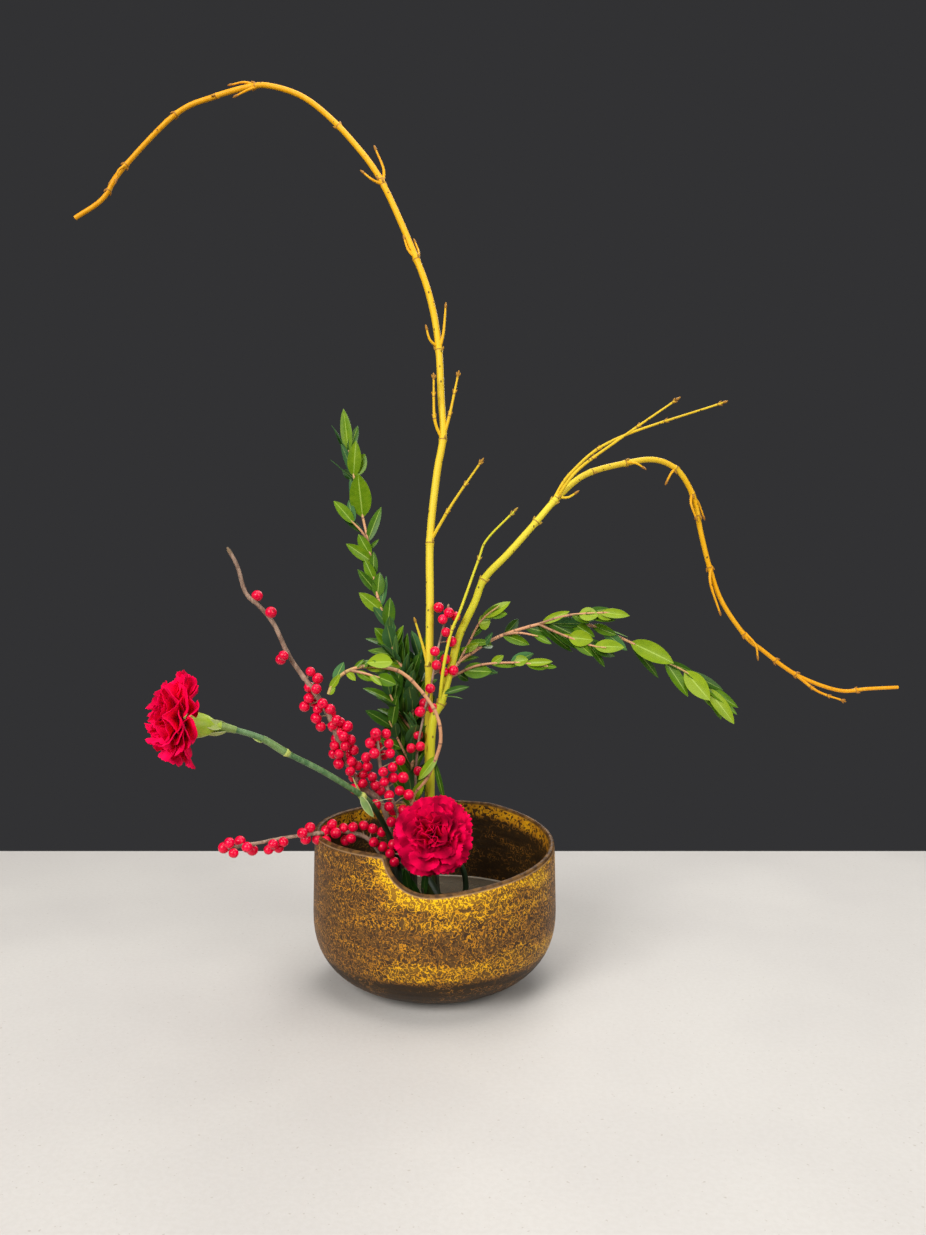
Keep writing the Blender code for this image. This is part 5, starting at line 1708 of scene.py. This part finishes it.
print("a berry is", round(BERRY_RADIUS * 2000, 1), "mm across")


# %% [markdown]
# ### Room for every berry
# Seen from the front the berries crowd together, but no two can be in one place.
# They could be dropped at random and sorted out by a simulation. It is quicker to
# try a few depths for each, in front of the stem and behind it, and to take the
# first that is free. What still touches is then pressed apart a little.

# %% Room between the berries
STALK_REACH = 0.0075
FREE_ROOM = 1.85 * BERRY_RADIUS
PRESSED_GAP = 1.86 * BERRY_RADIUS


def berry_centre(line, share, side, placed, rng):
    """Picks a depth in front of the stem or behind it where no berry is yet."""
    place, heading = line.at(share * line.length)
    right = Vector((heading.z, 0.0, -heading.x)).normalized()
    front = heading.cross(right).normalized()
    if front.y > 0:
        front = -front
    deep = math.sqrt(max(0.0, STALK_REACH ** 2 - (side / 1000) ** 2))
    choices = [deep * part for part in (0.8, -0.8, 0.3, -0.3, 1.1, -1.1)]
    rng.shuffle(choices)
    if rng.random() < 0.6:
        choices.sort(reverse=True)
    centres = [place + right * side / 1000 + front * choice for choice in choices]
    rooms = [
        min([(centre - other).length for other in placed], default=1.0) for centre in centres
    ]
    free = [centre for centre, room in zip(centres, rooms) if room > FREE_ROOM]
    return free[0] if free else centres[rooms.index(max(rooms))]


def press_apart(centres, gap):
    """Moves berries that overlap away from each other, a little at a time."""
    for _ in range(25):
        for index, first in enumerate(centres):
            for second in centres[index + 1:]:
                apart = second - first
                if apart.length < gap:
                    push = apart.normalized() * (gap - apart.length) * 0.3
                    first -= push
                    second += push


print("berries closer than", round(PRESSED_GAP * 1000, 2), "mm are pressed apart")


# %% Winterberry stems
def make_winterberry(name, node, route, radii, fruit, rng):
    line = stem_line(route)
    wood, red = bmesh.new(), bmesh.new()
    values(wood, "along", "to_node")
    values(red, "tip")
    spots = sorted({round(share * line.length, 3) for share, _ in fruit if share < 0.98})
    grow_stem(wood, line, radii, 12, spots[::2], 0.24)
    centres = []
    for share, side in fruit:
        centres.append(berry_centre(line, share, side, centres, rng))
    press_apart(centres, PRESSED_GAP)
    for (share, _), centre in zip(fruit, centres):
        add_berry(wood, red, line, share, centre, rng)
    place, heading = line.at(line.length)
    bud(wood, place - heading * 0.001, heading, 0.004, 0.0024, 1.0)
    new_piece(name + "_wood", wood, WINTERBERRY_BARK, "winterberry_bark", [node], 50)
    new_piece(name + "_fruit", red, BERRY_SKIN, "winterberry", [node], 80)


def make_winterberries():
    rng = random.Random(5)
    for key, route, radii, fruit in (
        ("tall", TALL_WINTERBERRY, (0.0030, 0.0017), TALL_FRUIT),
        ("low", LOW_WINTERBERRY, (0.0024, 0.0013), LOW_FRUIT),
        ("centre", CENTRE_WINTERBERRY, (0.0022, 0.0014), CENTRE_FRUIT),
        ("inner", INNER_WINTERBERRY, (0.0013, 0.0010), INNER_FRUIT),
    ):
        make_winterberry(key + "_winterberry", "winterberry_" + key, route, radii, fruit, rng)


make_winterberries()

# %% [markdown]
# ## Carnations
# A carnation is a ruffled ball of some fifty petals packed into a green tube, the
# calyx. Each petal is a narrow claw that opens to a fan with a toothed, wavy margin.
# The outer petals lie flat and even bend back over the calyx, and the inner ones
# stand up. One petal is a grid bent to a fan; its waves grow towards the margin, and
# every petal has its own phase, so that no two fold alike.

# %% [markdown]
# ### The red of the petals
# A petal has no shine, and it looks darkest in the folds and in the heart of the
# bloom, where shade falls. Light alone would not show this clearly between petals so
# thin, so that shade is painted into the red: each point keeps how far out it lies and
# how deep in a fold, and a ramp of four reds reads both.

# %% Petal finish
def make_petal_finish():
    made, tree, shader = new_material("carnation_petal", 0.85, Specular_IOR_Level=0.05)
    reach, deep = attribute(tree, "reach"), attribute(tree, "deep")
    cloud = wander(tree, noise(tree, object_place(tree), 180.0), 0.5)
    # Painted shade: the red is darker where a point lies deep in a fold.
    tone = plus(tree, minus(tree, 1.0, deep), cloud)
    red = steps(tree, tone, [
        (0.0, colour(0.27, 0.0, 0.020)), (0.35, colour(0.62, 0.0, 0.044)),
        (0.7, colour(0.90, 0.0, 0.068)), (1.0, colour(1.0, 0.004, 0.092)),
    ])
    # Painted shade in the heart of the bloom, near the foot of each petal.
    heart = span(tree, reach, 0.20, 0.75, 0.65, 0.0)
    feed(tree, shader, "Base Color", mixed(tree, heart, red, colour(0.24, 0.0, 0.015)))
    raise_bumps(tree, shader, pores(tree, 500.0, 0.8), 0.0001, 0.35)
    return made


PETAL_FINISH = make_petal_finish()


# %% Layers of petals
# Petals in a layer, their least and most lean from the axis in degrees, their share
# of the bloom's radius, half their fan in radians, how far up the axis they start,
# how much they curl forward, or back where negative, how deep they wave and how
# far from the axis they start.
PETAL_LAYERS = (
    (10, (78, 92), 0.93, 0.66, 0.0008, -0.20, 0.055, 0.0076),
    (10, (70, 82), 0.99, 0.64, 0.0014, -0.14, 0.060, 0.0064),
    (10, (57, 70), 0.99, 0.64, 0.0020, -0.08, 0.080, 0.0050),
    (11, (38, 56), 0.92, 0.66, 0.0026, 0.00, 0.105, 0.0034),
    (10, (16, 38), 0.84, 0.72, 0.0034, 0.05, 0.140, 0.0020),
    (6, (0, 14), 0.72, 0.80, 0.0040, 0.02, 0.170, 0.0006),
)
print("petals in a bloom:", sum(layer[0] for layer in PETAL_LAYERS))


# %% One petal
PETAL_ROWS = 8
PETAL_COLUMNS = 26
TOOTH_LENGTH = 0.0004


def petal(bm, foot, axis, turn, lean, length, fan, curl, wave, offset, shade, rng):
    """A fan with a toothed margin and waves that grow towards it."""
    reach_layer, fold_shade_layer = layers_of(bm, "reach", "deep")
    made = bmesh.ops.create_grid(
        bm, x_segments=PETAL_ROWS, y_segments=PETAL_COLUMNS, size=0.5
    )["verts"]
    first, second = rng.uniform(0, math.tau), rng.uniform(0, math.tau)
    beats, ripples = rng.uniform(0.9, 1.6), rng.uniform(2.2, 3.2)
    notch = rng.uniform(0.0, 0.08)
    shade += rng.uniform(-0.13, 0.13)
    for vert in made:
        u, v = vert.co.x + 0.5, vert.co.y * 2
        column = round((vert.co.y + 0.5) * PETAL_COLUMNS)
        open_part = u ** 1.6
        reach = length * u * (1.0 - 0.20 * v * v - notch * u * math.cos(3.0 * math.pi * v) ** 2)
        if u > 0.99:
            reach += TOOTH_LENGTH * (-1) ** column
        angle = fan * v * (0.30 + 0.70 * math.sqrt(u))
        swing = math.sin(math.pi * beats * v + first)
        ripple = math.sin(math.pi * ripples * v + second)
        lift = length * (wave * open_part * swing + 0.20 * wave * u ** 3 * ripple)
        angle += 0.10 * open_part * math.cos(math.pi * beats * v + first)
        lift += curl * length * u * u
        vert.co = (reach * math.cos(angle), reach * math.sin(angle), lift)
        vert[reach_layer] = u
        # Painted shade: darker in the troughs of the waves, and over the whole bloom by its shade.
        vert[fold_shade_layer] = shade + 0.5 - 0.5 * (swing * 0.6 + ripple * 0.4) * u
    out = side_of(axis, turn)
    heading = axis * math.cos(lean) + out * math.sin(lean)
    across = axis.cross(out)
    axes = placed_axes(foot + out * offset, heading, across, heading.cross(across))
    bmesh.ops.transform(bm, verts=made, matrix=axes)


print("points in a petal:", (PETAL_ROWS + 1) * (PETAL_COLUMNS + 1))


# %% Bloom
PETAL_THICKNESS = 0.00028


def make_bloom(name, node, middle, axis, radius, shade, ruffle, rng):
    """shade: painted shade, how much darker than usual the bloom is drawn, lighter where below
    zero. ruffle: how strongly it waves.
    """
    bm = bmesh.new()
    values(bm, "reach", "deep")
    for layer, (count, leans, share, fan, rise, curl, wave, offset) in enumerate(PETAL_LAYERS):
        wave *= ruffle
        for index in range(count):
            turn = math.tau * (index + 0.5 * (layer % 2)) / count + rng.uniform(-0.2, 0.2)
            lean = math.radians(rng.uniform(*leans))
            length = radius * share * rng.uniform(0.92, 1.04)
            foot = middle + axis * (rise + rng.uniform(-0.0004, 0.0004))
            petal(bm, foot, axis, turn, lean, length, fan, curl, wave, offset, shade, rng)
    bmesh.ops.solidify(bm, geom=bm.faces[:], thickness=PETAL_THICKNESS)
    new_piece(name, bm, PETAL_FINISH, "petals", [node], 80)


print("petals are", round(PETAL_THICKNESS * 1000, 2), "mm thick")

# %% [markdown]
# ## Calyx, stem and blades of a carnation
# The stem is blue green with a waxy bloom, and swells at each joint, where a pair of
# narrow blades sits. The calyx is a longer tube with five pointed teeth at its mouth
# and four short scales at its foot. It is yellower than the stem.

# %% Finish of the stalk and the calyx
def make_stalk_finish():
    made, tree, shader = new_material("carnation_stalk", 0.45, Specular_IOR_Level=0.35)
    along, calyx = attribute(tree, "along"), attribute(tree, "calyx")
    cloud = mottle(tree, 110.0, 0.35, 0.65, 0.5)
    blue = mixed(tree, cloud, colour(0.050, 0.125, 0.040), colour(0.120, 0.22, 0.080))
    blue = mixed(tree, fall(tree, along, 0.56, 0.74), blue, colour(0.045, 0.105, 0.024))
    ribs = times(tree, mottle(tree, 420.0, 0.4, 0.62, 0.35), 0.35)
    blue = mixed(tree, ribs, blue, colour(0.20, 0.32, 0.13))
    # Painted shade: below about half way up, the stalk turns nearly black in the bowl's shade.
    blue = mixed(tree, fall(tree, along, 0.46, 0.55), blue, colour(0.010, 0.036, 0.012))
    ring = mixed(tree, cloud, colour(0.42, 0.48, 0.09), colour(0.60, 0.62, 0.16))
    joint = span(tree, attribute(tree, "to_node"), 0.0018, 0.0042, 0.9, 0.0)
    skin = mixed(tree, joint, blue, ring)
    fresh = mixed(tree, cloud, colour(0.30, 0.46, 0.020), colour(0.42, 0.56, 0.040))
    cup = mixed(tree, span(tree, along, 0.80, 1.0), fresh, colour(0.55, 0.60, 0.14))
    feed(tree, shader, "Base Color", shade_and_wet_foot(tree, mixed(tree, calyx, skin, cup)))
    raise_bumps(tree, shader, pores(tree, 500.0), 0.0001, 0.4)
    return made


STALK_FINISH = make_stalk_finish()


# %% Finish of the blades
def make_blade_finish():
    made, tree, shader = new_material("carnation_blade", 0.5)
    across, tone = attribute(tree, "across"), attribute(tree, "tone")
    tone = plus(tree, tone, times(tree, mottle(tree, 150.0), 0.2))
    skin = mixed(tree, tone, colour(0.07, 0.17, 0.06), colour(0.38, 0.48, 0.10))
    rim = span(tree, sums(tree, "ABSOLUTE", across), 0.7, 1.0, 0.0, 0.5)
    skin = mixed(tree, rim, skin, colour(0.56, 0.58, 0.30))
    feed(tree, shader, "Base Color", shade_and_wet_foot(tree, skin))
    raise_bumps(tree, shader, pores(tree, 500.0), 0.0001, 0.4)
    return made


BLADE_FINISH = make_blade_finish()


# %% Calyx
CALYX_LENGTH = 0.027
TEETH = 5
TEETH_FROM = 0.0205
TEETH_RANGE = 0.0065
CALYX_PROFILE = (
    (0.0, 0.0), (0.0040, 0.0), (0.0044, 0.0040), (0.0056, 0.0068), (0.0078, 0.0098),
    (0.0094, 0.0140), (0.0104, 0.0190), (0.0111, 0.0235), (0.0115, 0.0270),
    (0.0108, 0.0270), (0.0100, 0.0215), (0.0, 0.0200),
)


def add_calyx(bm, mouth, axis):
    """Spins the tube and pulls its mouth up and down into teeth."""
    along, to_node, calyx = layers_of(bm, "along", "to_node", "calyx")
    made = spin_profile(bm, CALYX_PROFILE, 60)
    for vert in made:
        vert[calyx], vert[along] = 1.0, vert.co.z / CALYX_LENGTH
        vert[to_node] = FAR_FROM_NODES
        if vert.co.z > TEETH_FROM:
            part = (math.atan2(vert.co.y, vert.co.x) / math.tau * TEETH) % 1.0
            tooth = 1.0 - abs(2 * part - 1.0)
            vert.co.z += (vert.co.z - TEETH_FROM) / TEETH_RANGE * (0.0055 * tooth - 0.0025)
    place = Matrix.Translation(mouth - axis * CALYX_LENGTH)
    bmesh.ops.transform(bm, verts=made, matrix=place @ upright_turn(axis))


print("the calyx is", CALYX_LENGTH * 1000, "mm long and has", TEETH, "teeth")


# %% Stalk
SHEATH = (0.0033, 0.0029)
SLEEVE = (0.0028, 0.0042)
SLEEVE_LENGTH = 0.014


def add_sheath(bm, line, start, length, radii, fresh):
    """A tube that fits the stem, as above a joint. fresh: how yellow it is."""
    (calyx,) = layers_of(bm, "calyx")
    before = set(bm.verts)
    course = [line.at(start + length * step / 8)[0] for step in range(9)]
    grow_stem(bm, Line(course), radii, 16, (), 0.0, 0.003, 0.9)
    for vert in bm.verts:
        if vert not in before:
            vert[calyx] = fresh


def make_stalk(name, node, line, radii, mouth, axis, joints, share):
    """joints: each with the length of the sheath above it. share: a fixed along for the stalk, or
    None; a low one paints the whole stalk dark, as painted shade.
    """
    bm = bmesh.new()
    values(bm, "along", "to_node", "calyx")
    nodes = [nearest_distance(line, joint) for joint, _ in joints]
    grow_stem(bm, line, radii, 16, nodes, 0.42, 0.005, share)
    for distance, (_, length) in zip(nodes, joints):
        if length:
            add_sheath(bm, line, distance - 0.0005, length, SHEATH, 0.12)
    add_sheath(bm, line, line.length - SLEEVE_LENGTH, SLEEVE_LENGTH, SLEEVE, 0.35)
    add_calyx(bm, mouth, axis)
    new_piece(name, bm, STALK_FINISH, "carnation_green", [node], 50)


print("a sleeve of", SLEEVE_LENGTH * 1000, "mm leads into the calyx")


# %% Blades and scales
BLADE_THICKNESS = 0.0004
SCALES = 4


def make_blades(name, node, line, axis, blades, rng):
    """The blades of the joints, and the short scales at the foot of the calyx."""
    bm = bmesh.new()
    values(bm, "along", "across", "tone", "under")
    for base, heading, up, length, width, *pale in blades:
        shade = pale[0] if pale else rng.uniform(0.4, 0.7)
        leaf_blade(bm, Vector(base), Vector(heading), Vector(up), length, width, shade, rng)
    for index in range(SCALES):
        out = side_of(axis, math.tau * index / SCALES + 0.4)
        lean = (0.26, 0.38)[index % 2]
        heading = axis * math.cos(lean) + out * math.sin(lean)
        base, _ = line.at(line.length - (0.007, 0.003)[index % 2])
        face = out - axis * 0.2
        leaf_blade(bm, base + out * 0.0028, heading, face, 0.017, 0.0086, 1.0, rng)
    finish_blades(bm, BLADE_THICKNESS)
    new_piece(name, bm, BLADE_FINISH, "carnation_green", [node], 80)


print("scales under a calyx:", SCALES)


# %% Both carnations
LEFT_JOINTS = [
    ((-0.061, -0.053, 0.178), 0.0), ((-0.120, -0.089, 0.222), 0.024),
    ((-0.168, -0.110, 0.246), 0.0),
]
FRONT_JOINTS = [((0.026, -0.030, 0.076), 0.0)]
# Blades that the solids leave out: a tip where the upper sheath ends, and a dry one
# that hangs from the lower joint. The last number is how pale each is.
SMALL_BLADES = [
    ((-0.138, -0.099, 0.232), (-0.80, -0.30, 0.56), (0.3, -0.6, 0.8), 0.009, 0.0040, 0.8),
    ((-0.062, -0.058, 0.179), (0.52, -0.20, -0.80), (-0.6, -1.0, 0.0), 0.021, 0.0085, 0.30),
]


def make_carnation(key, route, axis, bloom, radii, joints, blades, share, rng):
    """bloom: its radius, its rise above the calyx, its painted shade and its ruffle."""
    radius, rise, shade, ruffle = bloom
    line = stem_line(route)
    mouth = Vector(route[-1]) + axis * (CALYX_LENGTH - 0.002)
    middle = mouth + Vector((0.0, 0.0, rise))
    name, node = key + "_carnation", "carnation_" + key
    make_bloom(name, node + "_bloom", middle, axis, radius, shade, ruffle, rng)
    make_stalk(name + "_stalk", node + "_stem", line, radii, mouth, axis, joints, share)
    make_blades(name + "_blades", node + "_stem", line, axis, blades, rng)


def make_carnations():
    rng = random.Random(17)
    # The third number of a bloom is painted shade: the left bloom is drawn lighter and the front
    # one darker.
    make_carnation(
        "left", LEFT_CARNATION, LEFT_BLOOM_AXIS, (0.0322, 0.004, -0.28, 2.1),
        (0.0028, 0.0024), LEFT_JOINTS, LEFT_BLADES + SMALL_BLADES, None, rng,
    )
    make_carnation(
        "front", FRONT_CARNATION, FRONT_BLOOM_AXIS, (0.0292, -0.001, 0.14, 1.1),
        # The 0.1 below fixes the front stalk's along low, which paints it dark all over with the
        # bowl's shade.
        (0.0027, 0.0024), FRONT_JOINTS, FRONT_BLADES, 0.1, rng,
    )


make_carnations()
